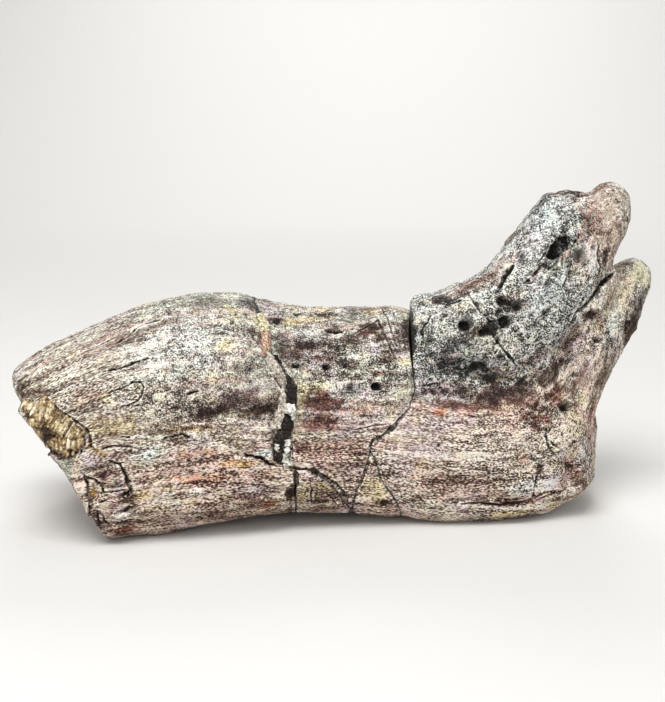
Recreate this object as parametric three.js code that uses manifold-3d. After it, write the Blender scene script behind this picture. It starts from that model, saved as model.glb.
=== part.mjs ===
// A section of fossil skull, broken and put together again from five fragments, with a crust of
// golden crystals in its broken left end. Millimetres, +Z up. +X runs along the section, the open
// cracks face -Y, and the origin is under the middle of the section, on the surface it lies on.
import * as THREE from 'three';
import { mergeVertices } from 'three/addons/utils/BufferGeometryUtils.js';
import Module from 'manifold-3d';

const wasm = await Module();
wasm.setup();

// Driving dimensions
const TRUNK_START = -162; // the trunk is skinned past its left end, and the break cuts it back
const TRUNK_END = 121;
const CREST_Y = 8;
const TRUNK_STEPS = 51;
const TRUNK_SIDES = 34;
const UPPER_FULLNESS = 0.95;
const LOWER_FULLNESS = 0.4;
const BASE_Z = 0;
const BREAK_TURN = 0.13; // how far the break runs to the right for each millimetre towards the front
const BREAK_ROUGHNESS = 1.4;
const SEAM_GAP = 0.4;
const SEAM_PLANE_Y = -38; // the seams are drawn on the plane of the front flank
const CHIP_BACK_Y = -14; // how far in the two chips at the bottom reach
const CHIP_FRONT_Y = -70;

// A smooth value along X through a few [x, value] stations.
function along(stations) {
  const places = stations.map(([x]) => x);
  const values = stations.map(([, value]) => value);
  const curve = new THREE.CubicInterpolant(places, values, 1, new Float32Array(1));
  return (x) => curve.evaluate(x)[0];
}

// Skins a row of closed rings and closes both ends with a fan.
function skin(rings) {
  const sides = rings[0].length;
  const faces = [];
  for (let i = 0; i < rings.length - 1; i += 1) {
    for (let j = 0; j < sides; j += 1) {
      const a = i * sides + j;
      const b = i * sides + ((j + 1) % sides);
      faces.push(a, b, a + sides, b, b + sides, a + sides);
    }
  }
  const last = (rings.length - 1) * sides;
  for (let j = 1; j < sides - 1; j += 1) {
    faces.push(0, j + 1, j);
    faces.push(last, last + j, last + j + 1);
  }
  const geometry = new THREE.BufferGeometry().setFromPoints(rings.flat());
  geometry.setIndex(faces);
  return geometry;
}

// A closed geometry as a solid that can be joined and cut.
function solidOf(geometry) {
  const bare = geometry.clone();
  bare.deleteAttribute('normal');
  bare.deleteAttribute('uv');
  const merged = mergeVertices(bare, 1e-4);
  return new wasm.Manifold(new wasm.Mesh({
    numProp: 3,
    vertProperties: merged.attributes.position.array,
    triVerts: new Uint32Array(merged.index.array),
  }));
}

function geometryOf(solid) {
  const mesh = solid.getMesh();
  const geometry = new THREE.BufferGeometry();
  geometry.setAttribute('position', new THREE.BufferAttribute(mesh.vertProperties, 3));
  geometry.setIndex(new THREE.BufferAttribute(mesh.triVerts, 1));
  const faceted = geometry.toNonIndexed();
  faceted.computeVertexNormals();
  return faceted;
}

function cutAll(solid, cutters) {
  return cutters.reduce((rest, cutter) => rest.subtract(cutter), solid);
}

// The largest of the bodies that a cut leaves within a span of X.
function bodyBetween(solid, left, right) {
  const inside = solid.decompose().filter((body) => {
    const { min, max } = body.boundingBox();
    const middle = (min[0] + max[0]) / 2;
    return middle > left && middle < right;
  });
  return inside.sort((a, b) => b.volume() - a.volume())[0];
}

// The trunk: its crest, its underside, its two flanks and the height where it is widest.
const crestHeight = along([
  [-162, 54], [-147.8, 64.7], [-130.7, 76.8], [-104, 87.8], [-77.5, 96.7], [-60, 98.6], [-46, 98.2],
  [-37, 95.3], [-23.7, 92.7], [0, 90.2], [27, 89.2], [40, 87], [60, 82], [80, 79], [100, 76],
  [112, 65], [121, 42],
]);
const undersideHeight = along([
  [-162, -4], [-104, -4], [-70, -1], [-40, 3], [-12, 3.5], [10, 1.5], [34, -2], [60, -3], [84, -1.5],
  [98, 3.5], [112, 9], [121, 18],
]);
const frontReach = along([
  [-162, 38], [-130, 41], [-100, 43], [-60, 40], [-20, 38], [10, 39], [40, 42], [70, 43], [92, 39],
  [104, 31], [113, 18], [121, 0],
]);
const backReach = along([
  [-162, 38], [-100, 44], [0, 40], [60, 44], [96, 40], [112, 30], [121, 16],
]);
const widestHeight = along([[-162, 30], [-100, 36], [0, 32], [50, 28], [100, 26], [121, 27]]);

// Swellings and hollows of the trunk's front, each with its height and how far it spreads.
const FRONT_RELIEF = [
  { x: -62, z: 70, spreadX: 46, spreadZ: 18, height: 3 },
  { x: -46, z: 50, spreadX: 20, spreadZ: 6, height: -3.5 },
  { x: -62, z: 24, spreadX: 50, spreadZ: 11, height: 2.5 },
  { x: 93, z: 24, spreadX: 4, spreadZ: 16, height: -4 },
  { x: 107, z: 17, spreadX: 10, spreadZ: 12, height: 5 },
  { x: 66, z: 58, spreadX: 40, spreadZ: 10, height: -12 },
  { x: 104, z: 56, spreadX: 14, spreadZ: 10, height: -6 },
];
const BACK_RELIEF = [
  { x: -80, z: 60, spreadX: 40, spreadZ: 16, height: -5 },
  { x: 10, z: 34, spreadX: 50, spreadZ: 12, height: -4 },
  { x: 66, z: 62, spreadX: 34, spreadZ: 10, height: -8 },
];

function reliefAt(relief, x, z) {
  return relief.reduce((sum, bump) => {
    const farX = (x - bump.x) / bump.spreadX;
    const farZ = (z - bump.z) / bump.spreadZ;
    return sum + bump.height * Math.exp(-(farX ** 2) - farZ ** 2);
  }, 0);
}

function trunkRing(x) {
  const ring = [];
  const widest = widestHeight(x);
  for (let j = 0; j < TRUNK_SIDES; j += 1) {
    const turn = (j / TRUNK_SIDES) * 2 * Math.PI;
    const up = Math.cos(turn);
    const out = Math.sin(turn);
    const fullness = up > 0 ? UPPER_FULLNESS : LOWER_FULLNESS;
    const reach = up > 0 ? crestHeight(x) - widest : widest - undersideHeight(x);
    const z = widest + Math.sign(up) * reach * Math.abs(up) ** fullness;
    const bulge = Math.abs(out) ** fullness;
    const front = frontReach(x) + CREST_Y + reliefAt(FRONT_RELIEF, x, z);
    const back = backReach(x) - CREST_Y + reliefAt(BACK_RELIEF, x, z);
    ring.push(new THREE.Vector3(x, CREST_Y + (out > 0 ? -front : back) * bulge, z));
  }
  return ring;
}

function trunk() {
  const rings = [];
  for (let i = 0; i <= TRUNK_STEPS; i += 1) {
    rings.push(trunkRing(THREE.MathUtils.lerp(TRUNK_START, TRUNK_END, i / TRUNK_STEPS)));
  }
  return solidOf(skin(rings));
}

// A prong: an oval section that follows a line, with its half width and half thickness at each stop.
const PRONG_FULLNESS = 0.8;

function prong(stops, steps, sides) {
  const line = new THREE.CatmullRomCurve3(stops.map(({ at }) => new THREE.Vector3(...at)));
  const sizes = new THREE.CatmullRomCurve3(stops.map(({ size }) => new THREE.Vector3(...size, 0)));
  const full = (value) => Math.sign(value) * Math.abs(value) ** PRONG_FULLNESS;
  const rings = [];
  for (let i = 0; i <= steps; i += 1) {
    const tangent = line.getTangent(i / steps);
    const across = new THREE.Vector3(-tangent.z, 0, tangent.x).normalize();
    const { x: halfWidth, y: halfThickness } = sizes.getPoint(i / steps);
    const ring = [];
    for (let j = 0; j < sides; j += 1) {
      const turn = (j / sides) * 2 * Math.PI;
      const point = line.getPoint(i / steps);
      point.addScaledVector(across, halfWidth * full(Math.cos(turn)));
      point.y -= halfThickness * full(Math.sin(turn));
      ring.push(point);
    }
    rings.push(ring);
  }
  return solidOf(skin(rings));
}

const UPPER_PRONG = [
  { at: [22, 4, 68], size: [24, 28] },
  { at: [54, 1, 75], size: [24.5, 28] },
  { at: [79, 0, 87], size: [23.5, 25] },
  { at: [96, 2, 106], size: [24, 19] },
  { at: [108, 5, 124], size: [22.5, 15] },
  { at: [114.5, 7, 133.5], size: [21, 12] },
  { at: [115.5, 8, 140.5], size: [14, 7] },
];
const REAR_PRONG = [
  { at: [97, 3, 36], size: [18.5, 28] },
  { at: [108, 3, 62], size: [16, 25] },
  { at: [124.5, 9, 82], size: [15.3, 19] },
  { at: [141.5, 15, 101], size: [9.5, 10.5] },
  { at: [145.5, 16, 107.5], size: [4.5, 5.5] },
];

// The two lobes at the upper prong's tip, with a nick between them, and the web that fills the
// angle between the prongs.
const LOBES = [
  { at: [104, 7, 132], size: [10.5, 9, 11], turn: 0.2 },
  { at: [124, 8, 133], size: [11, 10, 14], turn: 0 },
  { at: [111, 5.5, 88], size: [11, 19.5, 26], turn: 0.61 },
];

const LOBE_SIDES = 14;
const LOBE_RINGS = 10;

function lobe({ at, size, turn }) {
  const geometry = new THREE.SphereGeometry(1, LOBE_SIDES, LOBE_RINGS);
  geometry.rotateX(Math.PI / 2);
  geometry.scale(...size);
  geometry.rotateY(turn);
  geometry.translate(...at);
  return solidOf(geometry);
}

// The rough break of the left end, as the block that it takes away: its X at a few heights.
const breakLine = along([
  [-20, -100], [0, -111], [20, -121.5], [38, -134], [50, -143], [65, -148.6], [115, -150],
]);
const BREAK_BLOCK = { depth: 90, width: 110, height: 130, middleZ: 50, columns: 9, rows: 11 };

function brokenEnd() {
  const { depth, width, height, middleZ, columns, rows } = BREAK_BLOCK;
  const geometry = new THREE.BoxGeometry(depth, width, height, 1, columns, rows);
  geometry.translate(-depth / 2, 0, middleZ);
  const place = geometry.attributes.position;
  for (let i = 0; i < place.count; i += 1) {
    const y = place.getY(i);
    const z = place.getZ(i);
    const rough = Math.sin(0.31 * y + 1.3) * Math.cos(0.23 * z) + Math.sin(0.17 * z + 0.4 * y);
    const face = breakLine(z) - BREAK_TURN * (y - CREST_Y);
    place.setX(i, place.getX(i) + face + BREAK_ROUGHNESS * rough);
  }
  return solidOf(geometry);
}

// The block under the surface that the section lies on. It cuts the underside flat where it rests.
const GROUND = { length: 400, width: 200, depth: 40 };

function groundBlock() {
  const geometry = new THREE.BoxGeometry(GROUND.length, GROUND.width, GROUND.depth);
  geometry.translate(0, 0, BASE_Z - GROUND.depth / 2);
  return solidOf(geometry);
}

// Extrudes an outline of [x, z] points from one depth to another. It leans to the right with depth.
function prism(outline, lean, frontY, backY) {
  const shape = new THREE.Shape(outline.map(([x, z]) => new THREE.Vector2(x, z)));
  const geometry = new THREE.ExtrudeGeometry(shape, { depth: backY - frontY, bevelEnabled: false });
  geometry.rotateX(Math.PI / 2);
  geometry.translate(-lean * SEAM_PLANE_Y, backY, 0);
  geometry.applyMatrix4(new THREE.Matrix4().makeShear(0, 0, lean, 0, 0, 0));
  return solidOf(geometry);
}

// The outline of a band that follows a line of [x, z] points.
function band(line, widthAt) {
  const points = line.map(([x, z]) => new THREE.Vector2(x, z));
  const left = [];
  const right = [];
  points.forEach((point, i) => {
    const before = points[Math.max(i - 1, 0)];
    const after = points[Math.min(i + 1, points.length - 1)];
    const run = after.clone().sub(before).normalize();
    const half = widthAt(i) / 2;
    left.push([point.x - run.y * half, point.y + run.x * half]);
    right.push([point.x + run.y * half, point.y - run.x * half]);
  });
  return [...left, ...right.reverse()];
}

// The seams between the fragments, drawn from the top down on the plane of the front flank.
const WIDE_SEAM = [
  [-46, 112], [-45, 96], [-40.7, 90], [-37.5, 78], [-30.4, 68.5], [-27, 60], [-28, 55], [-32.2, 49],
  [-33.5, 40], [-33.5, 32], [-26.6, 29.5], [-26.6, -10],
];
const STEEP_SEAM = [
  [23, 112], [22.6, 88], [23.4, 72], [24.8, 60], [22.5, 53], [13.2, 43.7], [6, 39], [4.5, 31],
  [-1, 16], [-2.5, 7], [-2.5, -10],
];
const LEFT_CHIP_SEAM = [[-26.6, 29.5], [-20.5, 28.4], [-12, 22.3], [-2.5, 8.5]];
const RIGHT_CHIP_SEAM = [[5.4, 36], [8, 31], [10.2, 22.7], [17, 13], [19.2, 6.8], [19.2, -10]];
const WIDE_SEAM_LEAN = 0.1;
const STEEP_SEAM_LEAN = 0.2;
const DEEP = { front: -80, back: 80 };

function seam(line, lean, backY = DEEP.back) {
  return prism(band(line, () => SEAM_GAP), lean, DEEP.front, backY);
}

// The wide seam opens at the front into a trench, several millimetres across.
const TRENCH = [[-27.6, 68], [-28, 61], [-29.4, 54], [-31.6, 48], [-32.2, 40], [-32.2, 32.5]];
const TRENCH_WIDTHS = [1, 3.4, 4, 5.2, 6.4, 6.4];
const TRENCH_DEPTH = 5.5;
const TRENCH_SIDE = { x: -45, z: 50 }; // the place on the front that its depth is measured from

// A groove of a triangular section that follows the front along a line of [x, z] points, and runs
// out narrow and shallow at its ends.
const GROOVE_END_WIDTH = 0.3;
const GROOVE_END_DEPTH = 0.4;

function groove(frontAt, line, width, depth) {
  const rings = line.map(([x, z], i) => {
    const [beforeX, beforeZ] = line[Math.max(i - 1, 0)];
    const [afterX, afterZ] = line[Math.min(i + 1, line.length - 1)];
    const run = new THREE.Vector2(afterX - beforeX, afterZ - beforeZ).normalize();
    const end = i === 0 || i === line.length - 1;
    const half = end ? GROOVE_END_WIDTH * width : width;
    const y = frontAt(x, z);
    return [
      new THREE.Vector3(x + run.y * half, y - depth, z - run.x * half),
      new THREE.Vector3(x, y + (end ? GROOVE_END_DEPTH : 1) * depth, z),
      new THREE.Vector3(x - run.y * half, y - depth, z + run.x * half),
    ];
  });
  return solidOf(skin(rings));
}

// An oval hollow sunk into the front: its half sizes along and across, its depth and its turn.
function hollow(frontAt, { x, z, length, across, depth, turn = 0, sides = 12 }) {
  const geometry = new THREE.SphereGeometry(1, sides, sides / 2 + 1);
  geometry.scale(length, depth, across);
  geometry.rotateY(-turn);
  geometry.translate(x, frontAt(x, z), z);
  return solidOf(geometry);
}

const PORES = [
  { x: 49.5, z: 86.3, radius: 2.7 },
  { x: 65.8, z: 87.3, radius: 2.4 },
  { x: 60.9, z: 85.7, radius: 1.6 },
  { x: 57.3, z: 83.6, radius: 1.6 },
  { x: 66.1, z: 96.9, radius: 1.8 },
  { x: 72.8, z: 94, radius: 1.7 },
  { x: 94.5, z: 49.6, radius: 1.9 },
  { x: 96.5, z: 67.1, radius: 2.2 },
  { x: -25, z: 71.9, radius: 1.6 },
  { x: -12.6, z: 71.2, radius: 1.5 },
  { x: -3.9, z: 70.9, radius: 1.4 },
  { x: 9, z: 62.1, radius: 2 },
];
const HOLLOWS = [
  { x: 94, z: 117.4, length: 8, across: 2.8, depth: 8, turn: 0.75 },
  { x: 84.5, z: 109, length: 7, across: 1.6, depth: 3, turn: 0.7 },
  { x: 101.5, z: 110.5, length: 8, across: 3, depth: 2.6, turn: 1.1 },
  { x: 132.5, z: 78, length: 7, across: 3, depth: 4, turn: 1.1 },
];
const SURFACE_CRACKS = [
  [[56.3, 91], [60.4, 85.3], [63.6, 80.8], [69, 73]],
  [[-113.5, 47], [-107, 41], [-99.5, 36.5], [-96.5, 29.5], [-95.7, 24]],
  [[-99.4, 47.2], [-83.3, 45.2], [-70.9, 45.1], [-56.5, 39.1], [-40, 33.5]],
  [[113.4, 97], [106, 88], [102, 79]],
];
const CRACK_HALF_WIDTH = 0.9;
const CRACK_DEPTH = 1.8;

// The bite in the front wall beside the broken end, and the crystal crust that lines it.
const BITE = { x: -128.5, y: -37, z: 49.5, turn: -0.52, length: 15.5, across: 8, depth: 10 };
const CRUST_SINK = [1.5, 3, -0.5]; // the crust's face lies this far behind the old surface
const CRYSTAL_REACH = [0.4, 0.6, 0]; // and no crystal stands further out than this

function biteBlock(margin) {
  const geometry = new THREE.IcosahedronGeometry(1, 3);
  geometry.scale(BITE.length - margin, BITE.depth - margin, BITE.across - margin);
  geometry.rotateY(-BITE.turn);
  geometry.translate(BITE.x, BITE.y, BITE.z);
  return solidOf(geometry);
}

// Six-sided crystals that lean out of the crust side by side, each turned and raised its own way.
const CRYSTALS = 9;
const CRYSTAL = { base: 2.8, tip: 0.8, height: 9, sides: 6 };
const CRYSTAL_LEAN = 0.8;
const CRYSTAL_ROW = 1.5; // the row's length for each unit of the bite's half length
const CRYSTAL_SINK = 2.5;

function crystals() {
  const spikes = [];
  for (let i = 0; i < CRYSTALS; i += 1) {
    const share = i / (CRYSTALS - 1) - 0.5;
    const { tip, base, height, sides } = CRYSTAL;
    const geometry = new THREE.CylinderGeometry(tip, base, height, sides);
    geometry.rotateX(-Math.PI * (CRYSTAL_LEAN + 0.06 * Math.sin(7 * i)));
    geometry.rotateY(0.3 * Math.sin(3 * i));
    const run = share * CRYSTAL_ROW * BITE.length;
    geometry.translate(
      BITE.x + run * Math.cos(BITE.turn),
      BITE.y + CRYSTAL_SINK,
      BITE.z + run * Math.sin(BITE.turn) + 1.5 * Math.sin(5 * i),
    );
    spikes.push(solidOf(geometry));
  }
  return spikes;
}

// The first depth at which a line along +Y meets a solid.
function frontFinder(solid) {
  const mesh = new THREE.Mesh(geometryOf(solid), new THREE.MeshBasicMaterial());
  const caster = new THREE.Raycaster();
  return (x, z) => {
    caster.set(new THREE.Vector3(x, DEEP.front, z), new THREE.Vector3(0, 1, 0));
    return caster.intersectObject(mesh)[0].point.y;
  };
}

const FRAGMENT_FINISH = { roughness: 0.88, metalness: 0 };
const CALCITE_FINISH = { roughness: 0.45, metalness: 0 };

function piece(name, solid, colour, finish) {
  const material = new THREE.MeshStandardMaterial({ color: colour, ...finish });
  const mesh = new THREE.Mesh(geometryOf(solid), material);
  mesh.name = name;
  return mesh;
}

// The whole section before it broke: the trunk alone, and the trunk with its two prongs.
const ends = [brokenEnd(), groundBlock()];
const lowPart = cutAll(trunk(), ends);
const raised = [prong(UPPER_PRONG, 18, 24), prong(REAR_PRONG, 11, 18), ...LOBES.map(lobe)];
const whole = cutAll(raised.reduce((sum, solid) => sum.add(solid), lowPart), ends);
const frontAt = frontFinder(whole);

const marks = [
  ...PORES.map(({ x, z, radius }) => (
    hollow(frontAt, { x, z, length: radius, across: radius, depth: 1.5 * radius, sides: 8 })
  )),
  ...HOLLOWS.map((shape) => hollow(frontAt, shape)),
  ...SURFACE_CRACKS.map((line) => groove(frontAt, line, CRACK_HALF_WIDTH, CRACK_DEPTH)),
];
const trench = prism(
  band(TRENCH, (i) => TRENCH_WIDTHS[i]),
  WIDE_SEAM_LEAN,
  DEEP.front,
  frontAt(TRENCH_SIDE.x, TRENCH_SIDE.z) + TRENCH_DEPTH,
);
const wideSeam = seam(WIDE_SEAM, WIDE_SEAM_LEAN);
const steepSeam = seam(STEEP_SEAM, STEEP_SEAM_LEAN);
const chipSeams = [
  seam(LEFT_CHIP_SEAM, WIDE_SEAM_LEAN, CHIP_BACK_Y),
  seam(RIGHT_CHIP_SEAM, STEEP_SEAM_LEAN, CHIP_BACK_Y),
];
const allSeams = [wideSeam, steepSeam, ...chipSeams];

// The two chips at the bottom, between the main seams and their own.
const wideFoot = WIDE_SEAM.slice(-2);
const steepFoot = STEEP_SEAM.slice(-4);
const leftChipOutline = [...LEFT_CHIP_SEAM, STEEP_SEAM.at(-1), wideFoot[1]];
const rightChipOutline = [...RIGHT_CHIP_SEAM, ...steepFoot.reverse()];
const chipSpace = (outline, lean, gap) => prism(outline, lean, CHIP_FRONT_Y, CHIP_BACK_Y + gap);

const leftChipRoom = chipSpace(leftChipOutline, WIDE_SEAM_LEAN, SEAM_GAP);
const rightChipRoom = chipSpace(rightChipOutline, STEEP_SEAM_LEAN, SEAM_GAP);

// Each fragment is the body that the cuts leave, with its middle within a span of X.
const SPANS = {
  left: [-160, -40],
  middle: [-30, 25],
  right: [40, 160],
  leftChip: [-30, 0],
  rightChip: [-5, 30],
  crust: [-150, -100],
};
const bite = biteBlock(0);
const leftCuts = [wideSeam, steepSeam, ...marks, trench, bite];
const middleCuts = [...allSeams, ...marks, trench, leftChipRoom, rightChipRoom];
const rightCuts = [...allSeams, ...marks, rightChipRoom];
const leftPart = bodyBetween(cutAll(lowPart, leftCuts), ...SPANS.left);
const middlePart = bodyBetween(cutAll(lowPart, middleCuts), ...SPANS.middle);
const rightPart = bodyBetween(cutAll(whole, rightCuts), ...SPANS.right);
const leftChip = cutAll(lowPart.intersect(chipSpace(leftChipOutline, WIDE_SEAM_LEAN, 0)), allSeams);
const rightChip = cutAll(lowPart.intersect(chipSpace(rightChipOutline, STEEP_SEAM_LEAN, 0)), allSeams);
const sunkFront = lowPart.translate(CRUST_SINK);
const crust = crystals()
  .reduce((sum, spike) => sum.add(spike), sunkFront.intersect(biteBlock(0)))
  .intersect(biteBlock(SEAM_GAP))
  .intersect(lowPart.translate(CRYSTAL_REACH));

const section = new THREE.Group();
section.add(piece('left_fragment', leftPart, 0xc6b9ac, FRAGMENT_FINISH));
section.add(piece('middle_fragment', middlePart, 0xb7a597, FRAGMENT_FINISH));
section.add(piece('right_fragment', rightPart, 0xb5aca3, FRAGMENT_FINISH));
section.add(piece('left_wedge', bodyBetween(leftChip, ...SPANS.leftChip), 0xa89686, FRAGMENT_FINISH));
section.add(piece('right_wedge', bodyBetween(rightChip, ...SPANS.rightChip), 0xb6a790, FRAGMENT_FINISH));
section.add(piece('golden_calcite', bodyBetween(crust, ...SPANS.crust), 0xb8985a, CALCITE_FINISH));
export default section;
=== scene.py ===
"""A section of fossil skull, broken and put together again, lying on a pale floor.

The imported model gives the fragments. Here each one gets its weathered skin, its cracks, pores and
stains, and the broken end gets its golden crystals. Lengths are in metres, and MM stands for one
millimetre. Places named in pixels are those of a photograph of the section, 665 x 702.
"""

import math
from collections import namedtuple

import bmesh
import bpy
import numpy as np
from mathutils import Matrix, Vector, noise
from mathutils.bvhtree import BVHTree
from mathutils.kdtree import KDTree


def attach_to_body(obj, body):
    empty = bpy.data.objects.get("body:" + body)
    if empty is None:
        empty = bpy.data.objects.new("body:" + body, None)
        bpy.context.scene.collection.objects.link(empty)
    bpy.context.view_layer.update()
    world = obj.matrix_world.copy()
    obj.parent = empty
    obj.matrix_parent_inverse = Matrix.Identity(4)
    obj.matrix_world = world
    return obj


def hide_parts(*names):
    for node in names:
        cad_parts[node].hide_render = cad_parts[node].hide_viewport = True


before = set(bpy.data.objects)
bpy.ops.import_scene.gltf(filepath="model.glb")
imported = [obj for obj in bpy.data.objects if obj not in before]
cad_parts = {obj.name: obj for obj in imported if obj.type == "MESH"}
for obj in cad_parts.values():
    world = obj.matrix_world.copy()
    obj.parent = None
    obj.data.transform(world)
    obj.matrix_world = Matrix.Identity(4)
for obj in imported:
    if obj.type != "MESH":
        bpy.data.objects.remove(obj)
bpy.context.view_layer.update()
scene = bpy.context.scene
MM = 0.001

# The view. The photograph was taken with a lens of medium length from a little above the floor,
# and slightly to the left of straight on. A ray through one of its pixels finds a place on the bone.
PHOTO_WIDTH, PHOTO_HEIGHT = 665, 702
LENS, SENSOR = 60.0, 36.0
FOCAL_PIXELS = LENS / SENSOR * PHOTO_HEIGHT
VIEW_AZIMUTH, VIEW_ELEVATION = math.radians(-8), math.radians(12)
VIEW_DISTANCE = 532 * MM
VIEW_TARGET = Vector((-5, 3, 71)) * MM
VIEW_BACK = Vector((
    math.sin(VIEW_AZIMUTH) * math.cos(VIEW_ELEVATION),
    -math.cos(VIEW_AZIMUTH) * math.cos(VIEW_ELEVATION),
    math.sin(VIEW_ELEVATION),
))
VIEW_TURN = VIEW_BACK.to_track_quat("Z", "Y")
VIEW_PLACE = VIEW_TARGET + VIEW_DISTANCE * VIEW_BACK

camera = bpy.data.objects.new("camera", bpy.data.cameras.new("camera"))
camera.data.lens = LENS
camera.data.sensor_width = SENSOR
camera.data.clip_end = 20
camera.location = VIEW_PLACE
camera.rotation_euler = VIEW_TURN.to_euler()
scene.collection.objects.link(camera)
scene.camera = camera


def photo_ray(px, py):
    """The direction in which the photograph sees one of its pixels."""
    right = (px - PHOTO_WIDTH / 2) / FOCAL_PIXELS
    up = (PHOTO_HEIGHT / 2 - py) / FOCAL_PIXELS
    return (VIEW_TURN @ Vector((right, up, -1))).normalized()


# The studio: a plain pale floor that sweeps up into a wall far away on every side, one broad soft
# light from above and in front, weaker ones from the other sides, and an even pale surround.
FLOOR_REACH = 3.6
SWEEP_START, SWEEP_RADIUS = 1.3, 1.2
FLOOR_PAINT = (0.64, 0.63, 0.61, 1)

scene.view_settings.view_transform = "Standard"
scene.world = bpy.data.worlds.new("surround")
scene.world.use_nodes = True
scene.world.node_tree.nodes["Background"].inputs["Color"].default_value = (0.85, 0.86, 0.88, 1)
scene.world.node_tree.nodes["Background"].inputs["Strength"].default_value = 0.5

bm = bmesh.new()
bmesh.ops.create_grid(bm, x_segments=90, y_segments=90, size=FLOOR_REACH)
for vertex in bm.verts:
    reach = vertex.co.length
    beyond = max(0, reach - SWEEP_START) / SWEEP_RADIUS
    if beyond > 0:
        curl = min(beyond, math.pi / 2)
        vertex.co *= (SWEEP_START + SWEEP_RADIUS * math.sin(curl)) / reach
        vertex.co.z = SWEEP_RADIUS * (1 - math.cos(curl) + beyond - curl)
floor_mesh = bpy.data.meshes.new("floor")
bm.to_mesh(floor_mesh)
bm.free()
floor_mesh.shade_smooth()
floor = bpy.data.objects.new("floor", floor_mesh)
scene.collection.objects.link(floor)
floor_material = bpy.data.materials.new("matt_floor")
floor_material.use_nodes = True
floor_shader = floor_material.node_tree.nodes["Principled BSDF"]
floor_shader.inputs["Base Color"].default_value = FLOOR_PAINT
floor_shader.inputs["Roughness"].default_value = 0.9
floor_mesh.materials.append(floor_material)

Lamp = namedtuple("Lamp", "name place size power")
LAMPS = (
    Lamp("overhead", Vector((-0.25, -0.4, 1.05)), 0.7, 13),
    Lamp("front_fill", Vector((-0.9, -1.95, 0.8)), 1.2, 10),
    Lamp("right_fill", Vector((1.9, -0.8, 0.9)), 1.2, 9),
    Lamp("rear_fill", Vector((0.35, 1.95, 1.3)), 1.2, 24),
)
for lamp in LAMPS:
    light = bpy.data.lights.new(lamp.name, "AREA")
    light.size = lamp.size
    light.energy = lamp.power
    holder = bpy.data.objects.new(lamp.name, light)
    holder.location = lamp.place
    holder.rotation_euler = (lamp.place - VIEW_TARGET).to_track_quat("Z", "Y").to_euler()
    scene.collection.objects.link(holder)

# The left fragment: the long block from the broken end to the wide crack. It is fossil bone, its
# fibres drawn out along the block, pale on top and rosier below, with a long crack along the grain
# and a layered, crumbling patch beside the break. It is glued to the middle fragment.
FRAGMENTS = ("left_fragment", "middle_fragment", "right_fragment", "left_wedge", "right_wedge")
TINY = 1e-6


def light_of(red, green, blue):
    """A colour named by its screen values from 0 to 255, as light."""
    return np.array([(v / 255) ** 2.2 for v in (red, green, blue)])


CHALK = light_of(250, 248, 240)
CREAM = light_of(244, 236, 220)
STRAW = light_of(238, 224, 172)
MOSS = light_of(222, 230, 214)
FROST = light_of(228, 236, 234)
ROSE = light_of(236, 208, 194)
LILAC = light_of(222, 210, 216)
MAUVE = light_of(196, 170, 166)
RUST = light_of(206, 136, 96)
OCHRE = light_of(220, 180, 96)
UMBER = light_of(150, 122, 102)
OXBLOOD = light_of(158, 104, 92)
SLATE = light_of(160, 158, 156)
# A black for painted shade in hollows, pits, pores, cracks and shadows, which also stands for the dark
# filling of cracks and for dark bone.
SHADE_AND_MATRIX_BLACK = light_of(34, 28, 25)


def rows(items, name, width):
    """A named property of every vertex or edge, as the rows of an array."""
    values = np.empty(len(items) * width, np.int32 if name == "vertices" else np.float64)
    items.foreach_get(name, values)
    return values.reshape(-1, width)


def step(values, low, high):
    """How far each value has come from low to high, from 0 to 1, with soft ends."""
    t = np.clip((values - low) / (high - low), 0, 1)
    return t * t * (3 - 2 * t)


def lumps(points, size, octaves, seed):
    """Fractal noise at many points, about -1 to 1, with lumps of one size, moved on by a seed."""
    spots = (points / size + seed).tolist()
    return np.array([noise.fractal(spot, 1.0, 2.0, octaves) for spot in spots])


def mixed(first, second, share):
    """The first colours, turned to the second as far as the share of each vertex says."""
    return first + (second - first) * np.clip(share, 0, 1)[:, None]


# The size of a skin's faces. It is larger on the two large blocks, which have the most faces.
SMALL_FACE = 0.9 * MM
LARGE_BLOCK_FACES = {"left_fragment": 0.935 * MM, "right_fragment": 1.035 * MM}


def delete_crumbs(mesh):
    """Deletes everything that isn't joined to the largest part of a mesh."""
    bm = bmesh.new()
    bm.from_mesh(mesh)
    loose, parts = set(bm.verts), []
    while loose:
        part = [loose.pop()]
        for vertex in part:
            joined = {edge.other_vert(vertex) for edge in vertex.link_edges} & loose
            loose -= joined
            part.extend(joined)
        parts.append(part)
    parts.sort(key=len)
    for crumb in parts[:-1]:
        bmesh.ops.delete(bm, geom=crumb, context="VERTS")
    bm.to_mesh(mesh)
    bm.free()


def even_copy(node):
    """A copy of a fragment with small even faces, so that fine relief can be worked into it."""
    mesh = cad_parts[node].data.copy()
    bm = bmesh.new()
    bm.from_mesh(mesh)
    bmesh.ops.remove_doubles(bm, verts=bm.verts, dist=TINY)
    bm.to_mesh(mesh)
    bm.free()
    rough = bpy.data.objects.new(node + "_rough", mesh)
    scene.collection.objects.link(rough)
    modifier = rough.modifiers.new("even_faces", "REMESH")
    modifier.mode = "VOXEL"
    modifier.voxel_size = LARGE_BLOCK_FACES.get(node, SMALL_FACE)
    even = bpy.data.meshes.new_from_object(rough.evaluated_get(bpy.context.evaluated_depsgraph_get()))
    even.materials.clear()
    bpy.data.objects.remove(rough)
    delete_crumbs(even)
    return even


def faces_of(nodes):
    """A search tree of several CAD nodes' faces."""
    corners, faces = [], []
    for node in nodes:
        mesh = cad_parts[node].data
        start = len(corners)
        corners += [v.co.copy() for v in mesh.vertices]
        faces += [[start + i for i in p.vertices] for p in mesh.polygons]
    return BVHTree.FromPolygons(corners, faces)


WHOLE = faces_of(FRAGMENTS + ("golden_calcite",))
# A factor that mirrors front to back. The marks of the hidden back are placed through it.
BEHIND = Vector((1, -1, 1))


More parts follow.
